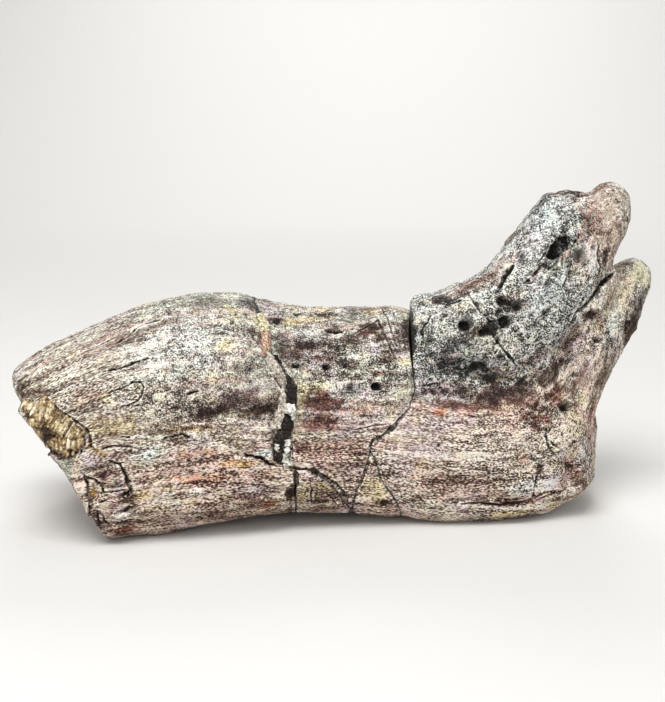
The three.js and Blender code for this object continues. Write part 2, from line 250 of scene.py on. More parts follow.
def found_at(px, py, behind=False):
    """The place on the bone that the photograph shows at a pixel, and its distance. A place behind
    is named by the pixel where a mirror image of the back would show it."""
    eye, ray = VIEW_PLACE, photo_ray(px, py)
    if behind:
        eye, ray = eye * BEHIND, ray * BEHIND
    place, _, _, far = WHOLE.ray_cast(eye, ray)
    return place, far


class Skin:
    """A fragment's vertices as arrays, so that all of them are moved and painted at once. The
    functions that weather the fragment note more arrays on it, with a row for each vertex."""

    def __init__(self, mesh):
        self.mesh = mesh
        self.places = rows(mesh.vertices, "co", 3)
        edges = rows(mesh.edges, "vertices", 2)
        self.ends = np.concatenate([edges[:, 0], edges[:, 1]])
        self.others = np.concatenate([edges[:, 1], edges[:, 0]])
        self.count = np.bincount(self.ends, minlength=len(self.places)).clip(1)

    def blurred(self, values, rounds):
        """Each vertex's values, averaged with its neighbours' again and again."""
        values = values.copy()
        for _ in range(rounds):
            for k in range(values.shape[1]):
                around = np.bincount(self.ends, values[self.others, k], len(values)) / self.count
                values[:, k] = 0.5 * values[:, k] + 0.5 * around
        return values

    def settle(self):
        """Writes the vertices' places into the mesh."""
        self.mesh.vertices.foreach_set("co", self.places.astype(np.float32).ravel())
        self.mesh.update()

    def normals(self):
        """The direction that each vertex faces, as the skin is now."""
        self.settle()
        return rows(self.mesh.vertices, "normal", 3)

    def push(self, depth):
        """Moves each vertex along its normal, outwards where depth is above 0."""
        self.places += self.normals() * depth[:, None]


# The trunk's fibres lie between its crest and its base, which follow these [x, z] points.
CREST = np.array([(-160, 58), (-148, 65), (-104, 88), (-60, 98), (0, 90), (60, 82), (112, 68)]) * MM
GIRTH = 90 * MM


def trunk_grain(places):
    """Coordinates that follow the trunk's fibres: along them, across them, and into the bone."""
    x, y, z = places.T
    height = np.interp(x, CREST[:, 0], CREST[:, 1])
    return np.stack([x, z / height * GIRTH, y], 1)


# The marks on the bone. Their places and their sizes across the photograph are in its pixels, and
# their turns in degrees. A crack's half width, and all depths and heights, are in millimetres.
# The next to last field of a crack and of a pore says how dark its inside is painted, as painted shade; in
# a crack it also stands for its dark filling.
Crack = namedtuple("Crack", "points width depth soot behind", defaults=(1, False))
Pore = namedtuple("Pore", "x y wide tall depth turn soot behind", defaults=(0, 1, False))
Swell = namedtuple("Swell", "x y wide tall turn height behind", defaults=(False,))
Stain = namedtuple("Stain", "x y wide tall turn paint share tone calm behind", defaults=(0, 0, False))


# An oval's depth into the bone, as a share of its longer half, and the distance given to every
# vertex where the photograph shows no bone at the oval's middle.
OVAL_DEPTH = 1.6
NOWHERE_NEAR = 9.0


def oval_distance(places, spot):
    """Distance from the middle of an oval named in pixels: 1 on its rim, and round in depth."""
    middle, far = found_at(spot.x, spot.y, spot.behind)
    if middle is None:
        return np.full(len(places), NOWHERE_NEAR)
    across, up = VIEW_TURN @ Vector((1, 0, 0)), VIEW_TURN @ Vector((0, 1, 0))
    metres = far / FOCAL_PIXELS
    turn = math.radians(spot.turn)
    offset = (places - np.array(middle)) * (BEHIND if spot.behind else 1)
    right, high, deep = offset @ np.array(across), offset @ np.array(up), offset @ np.array(VIEW_BACK)
    along = right * math.cos(turn) + high * math.sin(turn)
    aside = high * math.cos(turn) - right * math.sin(turn)
    wide, tall = spot.wide * metres, spot.tall * metres
    inward = deep / (OVAL_DEPTH * max(wide, tall))
    return np.sqrt((along / wide) ** 2 + (aside / tall) ** 2 + inward ** 2)


SAMPLES_PER_PIXEL = 1.5


def crack_samples(cracks):
    """Points close together along the cracks, each with the half width, depth and painted shade inside
    there. A third number at a point of a crack makes it wider or narrower there."""
    samples = []
    for crack in cracks:
        points = [Vector((*p, 1)) if len(p) == 2 else Vector(p) for p in crack.points]
        lengths = [(b - a).length for a, b in zip(points, points[1:])]
        total, done = sum(lengths), 0.0
        for (a, b), length in zip(zip(points, points[1:]), lengths):
            count = int(SAMPLES_PER_PIXEL * length) + 1
            for i in range(count):
                share = i / count
                px, py, wider = a.lerp(b, share)
                run = (done + length * share) / total
                taper = min(1, 6 * run + 0.3, 6 * (1 - run) + 0.3) * wider
                place, _ = found_at(px, py, crack.behind)
                if place is not None:
                    samples.append((place, crack.width * taper * MM,
                                    crack.depth * taper ** 0.5 * MM, crack.soot))
            done += length
    return samples


# The distance, half width, depth and painted shade inside for a vertex that is far from every crack.
NO_CRACK = (1.0, 1e-4, 0.0, 0.0)


def nearest_samples(places, samples, reach):
    """For each vertex the distance to the nearest crack, and its half width, depth and painted shade
    inside.
    """
    tree = KDTree(len(samples))
    for i, sample in enumerate(samples):
        tree.insert(sample[0], i)
    tree.balance()
    found = np.tile(NO_CRACK, (len(places), 1))
    low = np.min([sample[0] for sample in samples], 0) - reach
    high = np.max([sample[0] for sample in samples], 0) + reach
    for i in np.flatnonzero(((places > low) & (places < high)).all(1)):
        _, k, distance = tree.find(places[i])
        if distance < reach:
            found[i] = distance, *samples[k][1:]
    return found.T


def split_along(mesh, samples, reach):
    """Splits the faces along the cracks, so that a narrow crack keeps its shape."""
    far = nearest_samples(rows(mesh.vertices, "co", 3), samples, reach)[0]
    bm = bmesh.new()
    bm.from_mesh(mesh)
    bm.verts.ensure_lookup_table()
    close = [e for e in bm.edges if far[e.verts[0].index] < reach and far[e.verts[1].index] < reach]
    bmesh.ops.subdivide_edges(bm, edges=close, cuts=1, use_grid_fill=True)
    bmesh.ops.triangulate(bm, faces=[f for f in bm.faces if len(f.verts) > 4])
    bm.to_mesh(mesh)
    bm.free()


class Wire:
    """A socket in a material, with the arithmetic that its nodes need."""

    def __init__(self, tree, socket=None):
        self.tree = tree
        self.socket = socket

    def node(self, kind, output=0, inputs=None, stops=None, **settings):
        """Adds a node of any type, with its settings, its ramp's stops and its sockets' values."""
        made = self.tree.nodes.new(kind)
        for name, value in settings.items():
            setattr(made, name, value)
        if stops:
            ramp = made.color_ramp.elements
            while len(ramp) < len(stops):
                ramp.new(1)
            for element, (position, colour) in zip(ramp, stops):
                element.position = position
                element.color = colour
        for name, value in (inputs or {}).items():
            if isinstance(value, Wire):
                self.tree.links.new(value.socket, made.inputs[name])
            else:
                made.inputs[name].default_value = value
        return Wire(self.tree, made.outputs[output])

    def maths(self, operation, *values):
        """Adds a Math node for one operation on wires or numbers."""
        return self.node("ShaderNodeMath", operation=operation, inputs=dict(enumerate(values)))

    def __add__(self, other):
        return self.maths("ADD", self, other)

    def __radd__(self, other):
        return self.maths("ADD", other, self)

    def __sub__(self, other):
        return self.maths("SUBTRACT", self, other)

    def __rsub__(self, other):
        return self.maths("SUBTRACT", other, self)

    def __mul__(self, other):
        return self.maths("MULTIPLY", self, other)

    def __rmul__(self, other):
        return self.maths("MULTIPLY", other, self)

    def to(self, name):
        """Joins this wire to a socket of the material's shader."""
        self.tree.links.new(self.socket, self.tree.nodes["Principled BSDF"].inputs[name])


def new_material(name, roughness):
    """A material with its shader's even roughness set, and a wire to start its nodes from."""
    material = bpy.data.materials.new(name)
    material.use_nodes = True
    shader = material.node_tree.nodes["Principled BSDF"]
    shader.inputs["Roughness"].default_value = roughness
    shader.inputs["Specular IOR Level"].default_value = 0.3
    return material, Wire(material.node_tree)


# Bone from its darkest crevice to its palest crest, as shares of the palest colour: browner in the
# crevices where it is fibrous, greyer where it is spongy.
FIBROUS_TONES = (
    (0.17, (0.026, 0.014, 0.011, 1)),
    (0.32, (0.130, 0.084, 0.066, 1)),
    (0.44, (0.275, 0.215, 0.185, 1)),
    (0.53, (0.430, 0.380, 0.348, 1)),
    (0.62, (0.640, 0.605, 0.575, 1)),
    (0.74, (0.940, 0.930, 0.915, 1)),
)
SPONGY_TONES = (
    (0.24, (0.017, 0.015, 0.013, 1)),
    (0.34, (0.066, 0.059, 0.053, 1)),
    (0.44, (0.190, 0.177, 0.165, 1)),
    (0.53, (0.390, 0.378, 0.360, 1)),
    (0.62, (0.620, 0.612, 0.600, 1)),
    (0.74, (0.930, 0.930, 0.920, 1)),
)


def bone_material(name, contrast):
    """Fossil bone. The fragment's own paint, broken up by fibres where it is fibrous and by specks
    where it is spongy, and turned black where the skin carries painted shade or a dark seam."""
    material, start = new_material(name, roughness=0.74)

    def read(attribute, output):
        """The values that the fragment's skin carries under one name."""
        return start.node("ShaderNodeAttribute", output=output, attribute_name=attribute)

    flow, paint = read("flow", "Vector"), read("paint", "Color")
    tone, rough = read("tone", "Fac"), read("rough", "Fac")
    granular, hollow = read("granular", "Fac"), read("hollow", "Fac")
    body = start.node("ShaderNodeTexCoord", output="Object")

    def cloud(where, stretch, detail, output=0, curl=0.0):
        """Noise, with so many lumps in a metre along each of the three directions."""
        place = start.node("ShaderNodeVectorMath", operation="MULTIPLY", inputs={0: where, 1: stretch})
        return start.node("ShaderNodeTexNoise", output=output, inputs={
            "Vector": place, "Scale": 1.0, "Detail": detail, "Roughness": 0.6, "Distortion": curl})

    grit = cloud(flow, (760, 1750, 1750), 1)
    fibre = cloud(flow, (62, 470, 470), 3, curl=0.5)
    bands = cloud(flow, (26, 150, 150), 2, curl=0.4)
    grain = cloud(body, (1500, 1650, 1650), 1)
    specks = cloud(body, (330, 400, 400), 3, curl=0.8)
    clots = cloud(body, (125, 150, 150), 2, curl=0.6)
    along = 0.62 * grit + 0.40 * fibre + 0.20 * bands - 0.11
    crumbly = 0.62 * grain + 0.40 * specks + 0.20 * clots - 0.11
    height = along + granular * (crumbly - along)

    def lines(noise_wire, thickness):
        """Thin lines that wind through the noise wherever it crosses its middle."""
        away = start.maths("ABSOLUTE", noise_wire - 0.5)
        return start.maths("SMOOTH_MAX", thickness - away, 0.0, 0.004)

    fissures = lines(cloud(flow, (36, 250, 250), 2, curl=0.5), 0.010) * 10
    hairs = lines(cloud(body, (330, 400, 400), 1.5, curl=0.6), 0.010) * 6
    dark = hairs + fissures * (1 - 0.8 * granular)
    value = 0.515 + rough * (contrast * (height - 0.5) - dark) + tone
    warm = start.node("ShaderNodeValToRGB", stops=FIBROUS_TONES, inputs={0: value})
    cool = start.node("ShaderNodeValToRGB", stops=SPONGY_TONES, inputs={0: value})
    shade = start.node("ShaderNodeMix", output=2, data_type="RGBA",
                       inputs={0: granular, 6: warm, 7: cool})
    hue = cloud(body, (260, 320, 320), 2, output=1)
    tinted = start.node("ShaderNodeMix", output=2, data_type="RGBA", blend_type="SOFT_LIGHT",
                        inputs={0: 0.5, 6: paint, 7: hue})
    lit = start.node("ShaderNodeMix", output=2, data_type="RGBA", blend_type="MULTIPLY",
                     inputs={0: 1.0, 6: tinted, 7: shade})
    # Black where the hollow attribute says so: painted shade in pits, pores, cracks and hollows, and the
    # dark seams.
    start.node("ShaderNodeMix", output=2, data_type="RGBA",
               inputs={0: hollow, 6: lit, 7: (*SHADE_AND_MATRIX_BLACK, 1)}).to("Base Color")
    start.node("ShaderNodeBump", inputs={"Height": height, "Distance": 0.9 * MM}).to("Normal")
    return material


# How far away the next fragment and a crack are still felt, and how close to a crack the faces are
# split, once and then again.
SEAM_REACH = 6 * MM
CRACK_REACH = 4 * MM
SPLIT_REACHES = (2.0 * MM, 1.1 * MM)
# Rounds of smoothing: at the seams, on the open bone, and to find what lies below its surroundings.
SEAM_ROUNDS, OPEN_ROUNDS, SUNK_ROUNDS = 4, 36, 12


def find_seams(skin, node):
    """Notes how far the next fragment is from each vertex, and which vertices are glued to it."""
    others = faces_of([n for n in FRAGMENTS if n != node])
    nearest = [others.find_nearest(p, SEAM_REACH) for p in skin.places.tolist()]
    skin.seam = np.array([SEAM_REACH if found[3] is None else found[3] for found in nearest])
    aim = np.array([(0, 0, 0) if found[0] is None else found[0] for found in nearest])
    skin.aim = (aim - skin.places) / np.maximum(skin.seam, TINY)[:, None]
    facing = (skin.aim * skin.normals()).sum(1)
    skin.glued = step(-skin.seam, -1.2 * MM, -0.6 * MM) * step(facing, 0.6, 0.9)
    skin.outside = step(skin.seam, 0.6 * MM, 2.4 * MM)
    skin.free = np.maximum(skin.outside, step(-facing, -0.5, 0.1))


def smooth(skin, swells):
    """Smooths the CAD's flat faces away, keeps its edges at the seams, and raises the swells."""
    firm = skin.blurred(skin.places, SEAM_ROUNDS)
    skin.places = mixed(firm, skin.blurred(skin.places, OPEN_ROUNDS), skin.outside)
    for swell in swells:
        skin.push(swell.height * MM * np.exp(-oval_distance(skin.places, swell) ** 2))


def roughen(skin):
    """Relief: broad waves, ridges and shallow fissures along the grain, clods and pits where the
    bone is spongy, and worn edges at the seams."""
    flow, spongy = skin.flow, skin.spongy
    waves = lumps(skin.start, 24 * MM, 3, 1.7)
    ridges = lumps(flow / np.array([8, 1, 1]), 3.6 * MM, 3, 5.2)
    threads = lumps(flow / np.array([7, 1, 1]), 1.7 * MM, 2, 8.1)
    clods = lumps(skin.start, 4.4 * MM, 4, 3.3)
    crumbs = lumps(skin.start, 2.1 * MM, 2, 9.9)
    relief = waves + (1 - spongy) * (0.45 * ridges + 0.2 * threads + 0.25 * clods)
    relief += spongy * (0.8 * clods + 0.2 * ridges) + 0.16 * crumbs
    relief -= 0.45 * (1 - spongy) * step(-np.abs(ridges), -0.07, 0.0)
    pits = step(crumbs + 0.35 * clods, 0.34, 0.6) * (0.3 + 0.7 * spongy)
    wear = step(-skin.seam, -2.6 * MM, -0.5 * MM) * (1 - skin.glued)
    wear *= np.clip(0.35 + 1.3 * clods, 0.02, 1.6)
    skin.push((relief * skin.free - 0.7 * pits * skin.free - 0.75 * wear) * MM)
    skin.places += skin.aim * (skin.glued * 0.2 * MM)[:, None]
    skin.clods, skin.crumbs = clods, crumbs
    # The pits are painted dark inside, as painted shade.
    skin.hollow = 0.85 * pits * skin.free


def carve(skin, pores, samples):
    """Sinks the pores and the cracks. Both are painted dark inside, as painted shade, which in a crack
    also stands for its dark filling. A pore stands in a ring of painted shade, and a crack has
    painted highlights beside it."""
    clods, crumbs = skin.clods, skin.crumbs
    skin.rings = np.zeros(len(skin.start))
    for pore in pores:
        far = oval_distance(skin.start, pore) * (1 + 0.16 * clods + 0.12 * crumbs)
        rim = 0.3 * np.exp(-((far - 1.3) / 0.25) ** 2)
        skin.push((rim - pore.depth * step(-far, -1.15, -0.4)) * MM)
        soot = pore.soot * min(0.93, 0.2 + pore.depth / 3)
        skin.hollow = np.maximum(skin.hollow, step(-far, -1.15, -0.45) * soot)
        skin.rings += 0.1 * np.exp(-((far - 1.35) / 0.3) ** 2)
    far, width, depth, soot = nearest_samples(skin.start, samples, CRACK_REACH)
    far = far / (width * (1 + 0.45 * clods + 0.3 * crumbs))
    skin.push(-depth * step(-far, -1.3, -0.2))
    dark = soot * step(-far, -1.0, -0.5) * step(depth, 0, 0.6 * MM)
    skin.hollow = np.maximum(skin.hollow, dark)
    skin.lips = np.exp(-((far - 2.2) / 0.8) ** 2) * step(width, 0.1 * MM, 0.5 * MM)
    skin.places[:, 2] = np.maximum(skin.places[:, 2], 0)


def painted(skin, tint, stains):
    """Paint: bands along the grain, patches, the stains, painted light on crests and beside cracks,
    painted shade in hollows and around pores, and dark seams.
    """
    flow, clods, crumbs = skin.flow, skin.clods, skin.crumbs
    bands = lumps(flow / np.array([12, 1, 1]), 6 * MM, 3, 11.4)
    streaks = lumps(flow / np.array([14, 1, 1]), 2.2 * MM, 2, 17.9)
    patches = lumps(skin.start, 17 * MM, 3, 23.5)
    blots = lumps(skin.start, 6.5 * MM, 3, 31.1)
    fibrous = 1 - 0.8 * skin.spongy
    paint = tint(skin.start)
    paint = mixed(paint, ROSE, 0.8 * step(bands, 0.1, 0.5) * fibrous)
    paint = mixed(paint, LILAC, 0.5 * step(patches, 0.05, 0.45))
    paint = mixed(paint, MOSS, 0.4 * step(-patches, 0.1, 0.5))
    paint = mixed(paint, STRAW, 0.35 * step(blots, 0.3, 0.6))
    paint = mixed(paint, MAUVE, 0.55 * step(-streaks, 0.15, 0.5) * fibrous)
    tone = 0.04 * patches + 0.07 * blots + 0.09 * streaks * fibrous + 0.06 * bands * fibrous
    rough = 1 + 0.5 * lumps(skin.start, 31 * MM, 2, 37.7)
    for stain in stains:
        far = oval_distance(skin.start, stain)
        far = far + 0.35 * clods + 0.35 * streaks + 0.3 * crumbs + 0.5 * blots
        share = stain.share * step(-far, -1.3, -0.4)
        paint = mixed(paint, stain.paint, share)
        tone += stain.tone * share
        rough *= 1 - stain.calm * step(-far, -1.3, -0.4)
    # Painted highlights beside the cracks, and painted shade in the ring around each pore.
    paint = mixed(paint, CHALK, 0.6 * skin.lips)
    tone += 0.08 * skin.lips - skin.rings
    # Painted light and shade: paler where the skin stands above its surroundings, darker where it lies
    # below them, and black where it lies well below.
    level = skin.blurred(skin.places, SUNK_ROUNDS)
    sunk = ((level - skin.places) * skin.normals()).sum(1) / MM
    tone -= 0.16 * np.clip(sunk, -0.6, 1.2)
    hollow = np.maximum(skin.hollow, step(sunk, 0.45, 1.1) * 0.8)
    hollow = np.maximum(hollow, step(-skin.seam, -0.8 * MM, -0.5 * MM) * (0.75 + 0.5 * crumbs))
    return paint, tone, rough, np.clip(hollow, 0, 1)


def attach(mesh, name, material, node=None):
    """Makes a mesh a piece that rides on the fossil, in the place of a CAD node if one is named."""
    mesh.materials.append(material)
    piece = bpy.data.objects.new(name, mesh)
    scene.collection.objects.link(piece)
    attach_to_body(piece, "root")
    if node:
        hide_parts(node)


def weathered(node, material, grain, tint, cracks, pores, stains, swells=(),
              spongy_at=None, granular_at=None):
    """Makes a fragment's weathered skin, whose material reads its paint from attributes."""
    mesh = even_copy(node)
    samples = crack_samples(cracks)
    for reach in SPLIT_REACHES:
        split_along(mesh, samples, reach)
    skin = Skin(mesh)
    find_seams(skin, node)
    smooth(skin, swells)
    skin.start = skin.places.copy()
    skin.flow = grain(skin.start)
    skin.spongy = np.zeros(len(skin.start)) if spongy_at is None else spongy_at(skin.start)
    granular = skin.spongy if granular_at is None else granular_at(skin.start)
    roughen(skin)
    carve(skin, pores, samples)
    paint, tone, rough, hollow = painted(skin, tint, stains)
    skin.settle()
    for name, kind, key, values in (
        ("flow", "FLOAT_VECTOR", "vector", skin.flow),
        ("paint", "FLOAT_COLOR", "color", np.column_stack([paint, np.ones(len(paint))])),
        ("tone", "FLOAT", "value", tone),
        ("rough", "FLOAT", "value", rough),
        ("granular", "FLOAT", "value", granular),
        ("hollow", "FLOAT", "value", hollow),
    ):
        layer = mesh.attributes.new(name, kind, "POINT")
        layer.data.foreach_set(key, values.astype(np.float32).ravel())
    mesh.shade_smooth()
    attach(mesh, node + "_skin", material, node)


# The wide crack lies between the left and the middle fragment, and both have their half of it.
WIDE_CRACK = (
    Crack([(262, 342), (266, 352)], 0.5, 1.2),
    Crack([(266, 350), (270, 353), (278, 359), (285, 372), (289, 384)], 0.5, 1.8),
    Crack([(290, 383), (290.5, 392, 1.15), (290, 401), (289, 410, 0.5), (286, 420), (281, 434, 1.2),
           (279, 446, 1.2), (281, 457, 1.2), (288, 467)], 0.75, 2.0),
    Crack([(296, 468), (296.4, 480, 1.6), (296, 496, 1.3), (296.4, 513)], 0.7, 1.6),
)
LEFT_CRACKS = WIDE_CRACK + (
    Crack([(248, 330), (254, 340), (260, 351), (265, 361), (270, 370), (277, 381), (283, 392)],
          0.5, 1.2),
    Crack([(53, 404), (62, 413), (74, 420), (80, 425), (86, 429), (89.5, 437), (90.6, 446), (96, 451),
           (103, 454)], 0.6, 1.3, 0.4),
    Crack([(102, 453), (106, 460), (120, 465), (125.6, 474, 1.5), (128, 481, 2), (130, 488, 2.4),
           (127, 499)], 0.5, 1.6),
    Crack([(83, 476), (87.5, 484, 1.4), (89, 500, 0.7), (90, 516), (93, 530), (98, 541)], 0.5, 1.4),
    Crack([(97, 508), (99, 520), (102, 532)], 0.4, 1.1),
    Crack([(78, 468), (85, 477), (94.6, 480), (102, 486), (103.8, 495)], 0.55, 1.4),
    Crack([(104, 509), (104.5, 520), (110, 523), (120, 522), (134, 519)], 0.55, 1.2),
    Crack([(92, 524), (104, 527), (116, 524), (132, 521)], 0.5, 1.0),
    Crack([(100, 541), (112, 537), (124, 538)], 0.5, 1.0),
    Crack([(92, 505), (107, 500), (124, 494), (137, 490)], 0.7, 1.4),
    Crack([(115, 513), (124, 511, 1.6), (133, 506)], 0.8, 1.8),
    Crack([(96, 494), (108, 492), (122, 490), (130, 489)], 0.5, 1.1),
    Crack([(82, 449), (78, 460), (77, 470)], 0.5, 1.1),
    Crack([(118, 436, 0.7), (140, 439, 0.7), (160, 440, 0.7), (182, 434, 0.7), (190, 438), (205, 443),
           (225, 450), (245, 455), (262, 458, 0.8), (268, 464), (277, 466), (290, 467)], 0.75, 1.8),
    Crack([(103, 394, 0.6), (123, 388), (133, 382), (140.6, 382), (143.4, 387), (141.7, 395),
           (137.8, 400.5), (131, 404.4), (123, 406.6), (117, 410, 0.6)], 0.42, 1.1),
    Crack([(112, 345), (128, 336), (137, 327), (150, 322), (162, 319)], 0.5, 0.8),
    Crack([(103, 372), (120, 368), (136, 362), (150, 358)], 0.45, 0.7),
    Crack([(80, 350), (98, 345), (118, 336)], 0.4, 0.6),
    Crack([(186, 395), (192, 393, 1.6), (199, 391)], 0.6, 1.2),
    Crack([(96, 451), (112, 446), (130, 447), (150, 452)], 0.4, 0.6),
    Crack([(60, 420), (110, 405), (165, 398), (220, 402), (262, 396)], 0.6, 1.4, 1, True),
    Crack([(120, 470), (160, 462), (205, 466), (240, 460)], 0.5, 1.2, 1, True),
    Crack([(150, 330), (158, 350), (154, 372), (163, 398)], 0.45, 1.1, 1, True),
)
LEFT_PORES = (
    Pore(232, 323, 2.8, 2.8, 1.6), Pore(212, 356, 2.8, 2, 0.8), Pore(250, 370, 2.8, 2.8, 1.2),
    Pore(244, 355, 4.5, 5, 0.4), Pore(201, 299, 3, 1.8, 1.4), Pore(211, 298, 3, 1.8, 1.2),
    Pore(155, 353, 5, 2, 0.9), Pore(141, 363, 6, 2, 0.8), Pore(167, 314, 4, 2, 1.2),
    Pore(37, 391, 3, 1.3, 1.6), Pore(191, 366, 2.6, 1.8, 1.2), Pore(192, 312, 2, 1.6, 1.0),
    Pore(217, 334, 2, 2, 0.8), Pore(254, 442, 2.2, 2.2, 1.2), Pore(148, 396, 2.2, 1.8, 1.0),
    Pore(241, 424, 2, 2, 1.0), Pore(203, 468, 3, 1.6, 0.9),
    Pore(210, 350, 4, 3, 1.4, 0, 1, True), Pore(180, 372, 3, 3, 1.2, 0, 1, True),
    Pore(120, 380, 3, 2, 1.0, 0, 1, True), Pore(232, 430, 4, 3, 1.4, 0, 1, True),
    Pore(90, 440, 3, 2, 1.0, 0, 1, True), Pore(250, 350, 5, 4, 0.8, 0, 1, True),
)
LEFT_STAINS = (
    Stain(175, 345, 70, 34, 15, FROST, 0.5), Stain(205, 345, 34, 18, 0, FROST, 0.7, 0.06),
    Stain(230, 310, 20, 5, -48, STRAW, 0.6, 0.06), Stain(256, 306, 18, 9, -25, SLATE, 0.8, -0.16),
    Stain(226, 346, 10, 8, 0, STRAW, 0.9, 0.03), Stain(260, 340, 3, 10, 8, UMBER, 0.8, -0.12),
    Stain(262, 322, 8, 9, 0, STRAW, 0.9, 0.05), Stain(263, 352, 4, 6, 0, RUST, 0.8),
    Stain(150, 350, 110, 42, 16, CREAM, 0.3, 0.07), Stain(252, 334, 4, 12, 30, UMBER, 0.7, -0.14),
    # Painted shadow under the bulge: the umber stains at pixels 256, 412 and 215, 412.
    Stain(232, 402, 44, 14, 8, MAUVE, 0.85, -0.09), Stain(256, 412, 22, 7, 12, UMBER, 0.95, -0.17),
    Stain(215, 412, 22, 5, 8, UMBER, 0.8, -0.12), Stain(215, 470, 75, 17, 3, ROSE, 0.8, -0.02),
    Stain(205, 452, 40, 5, 5, RUST, 0.5, -0.02), Stain(245, 463, 24, 5, 5, OCHRE, 0.7),
    Stain(200, 478, 34, 5, 0, RUST, 0.55, -0.04), Stain(255, 489, 20, 9, 0, LILAC, 0.9, -0.04),
    Stain(270, 503, 14, 5, 18, RUST, 0.8, -0.04), Stain(238, 499, 22, 7, 0, OXBLOOD, 0.5, -0.08),
    Stain(114, 500, 14, 6, 12, OXBLOOD, 0.8, -0.1), Stain(124, 530, 14, 5, 8, RUST, 0.8, -0.12),
    Stain(88, 490, 3, 20, 8, UMBER, 0.9, -0.22), Stain(97, 518, 6, 12, 10, MAUVE, 0.9, -0.18),
    Stain(130, 496, 8, 8, 0, UMBER, 0.9, -0.18), Stain(103, 482, 4, 8, 10, UMBER, 0.8, -0.16),
    Stain(108, 463, 12, 4, 10, CREAM, 0.7, 0.06), Stain(132, 509, 6, 4, 0, UMBER, 0.8, -0.14),
    Stain(121, 515, 11, 3.5, 12, CHALK, 1.0, 0.14), Stain(264, 455, 9, 5, 0, FROST, 1.0, 0.16),
    Stain(92, 492, 4, 6, 0, OCHRE, 0.9, 0.02), Stain(141, 495, 8, 5, 10, STRAW, 0.8, 0.02),
    Stain(80, 424, 12, 3, -40, UMBER, 0.9, -0.1), Stain(90, 442, 3, 8, 0, OCHRE, 0.9, -0.06),
    Stain(98, 452, 8, 3, -20, OCHRE, 0.9, -0.06), Stain(83, 439, 6, 6, 0, LILAC, 1.0, 0.08, 0.5),
    # The black stain at pixel 130, 488 is painted shade at the end of a crack.
    Stain(117, 486, 8, 6, 0, SLATE, 0.8, 0.0, 0.3), Stain(130, 488, 5, 5, 0, SHADE_AND_MATRIX_BLACK, 0.9, -0.25),
    Stain(96, 484, 8, 4, 0, UMBER, 0.7, -0.12), Stain(112, 474, 14, 6, 8, MAUVE, 0.8, -0.06),
    Stain(109, 541, 12, 4, 12, CREAM, 0.9, 0.08), Stain(128, 531, 14, 4, 12, OXBLOOD, 0.7, -0.08),
    Stain(60, 398, 30, 5, 22, CREAM, 0.7, 0.06), Stain(20, 385, 7, 10, 0, UMBER, 0.7, -0.12),
    Stain(200, 440, 60, 14, 4, MAUVE, 0.8, -0.08, 0.2, True),
    Stain(120, 425, 40, 10, 8, UMBER, 0.8, -0.14, 0.2, True),
    Stain(150, 350, 40, 14, 12, STRAW, 0.7, 0.05, 0, True),
    Stain(220, 340, 34, 18, 0, FROST, 0.7, 0.08, 0, True),
    Stain(230, 480, 40, 10, 2, OXBLOOD, 0.8, -0.1, 0.2, True),
    Stain(90, 400, 30, 9, 20, CHALK, 0.8, 0.1, 0, True),
    Stain(160, 500, 60, 8, 0, ROSE, 0.8, 0.02, 0, True),
    Stain(60, 380, 30, 6, 24, RUST, 0.5, -0.04, 0, True),
    Stain(170, 488, 7, 3, 0, STRAW, 0.8, 0.05), Stain(196, 492, 6, 4, 0, CHALK, 0.8, 0.1),
    Stain(140, 352, 30, 8, 22, CHALK, 0.7, 0.08), Stain(60, 370, 40, 12, 24, CREAM, 0.6, 0.02),
    Stain(90, 398, 22, 7, 20, RUST, 0.4, -0.03), Stain(150, 455, 20, 8, 4, FROST, 0.9, 0.08),
    Stain(115, 425, 30, 10, 5, STRAW, 0.7, 0.02), Stain(188, 430, 24, 5, 4, OCHRE, 0.5, -0.04),
    Stain(290, 496, 5, 13, -12, UMBER, 1.0, -0.3), Stain(284, 490, 3, 12, -35, CREAM, 0.9, 0.1),
    Stain(90, 461, 13, 10, 10, LILAC, 0.8, 0.05), Stain(66, 470, 8, 11, 20, MOSS, 0.9, 0.0),
    Stain(82, 498, 5, 18, 25, CREAM, 0.9, 0.08), Stain(100, 524, 12, 20, 20, MAUVE, 0.6, -0.1),
    Stain(40, 436, 9, 16, 30, OXBLOOD, 0.9, -0.2), Stain(36, 392, 18, 5, 10, UMBER, 0.8, -0.08),
    Stain(150, 330, 40, 4, 22, UMBER, 0.6, -0.08), Stain(105, 345, 36, 3.5, 24, UMBER, 0.5, -0.07),
    Stain(210, 517, 90, 5, 2, UMBER, 0.6, -0.06), Stain(205, 298, 60, 5, 6, MOSS, 0.7, 0.03),
)
LEFT_SWELLS = (
    Swell(222, 362, 55, 26, 5, 1.4), Swell(238, 413, 34, 8, 6, -2.4), Swell(200, 507, 95, 6, 2, 1.3),
    Swell(112, 478, 16, 14, 0, -1.0), Swell(60, 455, 10, 14, 0, -1.6), Swell(92, 463, 14, 10, 10, 1.8),
    Swell(94, 498, 6, 12, 20, -1.8), Swell(112, 530, 14, 7, 10, 1.0), Swell(150, 455, 26, 9, 4, 0.8),
    Swell(112, 484, 14, 6, 4, 1.6), Swell(116, 531, 14, 5, 8, 1.2), Swell(90, 528, 5, 12, 20, -1.6),
    Swell(291, 497, 5, 10, -10, -1.6), Swell(80, 494, 4, 16, 24, 1.0), Swell(114, 473, 11, 6, 8, 1.2),
    Swell(114, 501, 12, 5, 10, 1.8),
    Swell(120, 515, 11, 3, 12, 1.4), Swell(110, 541, 12, 4, 12, 1.6), Swell(132, 486, 6, 8, 0, -1.2),
    Swell(160, 440, 60, 14, 6, -1.6, True), Swell(210, 360, 40, 24, 0, 1.4, True),
    Swell(80, 470, 30, 16, 0, -1.4, True),
)


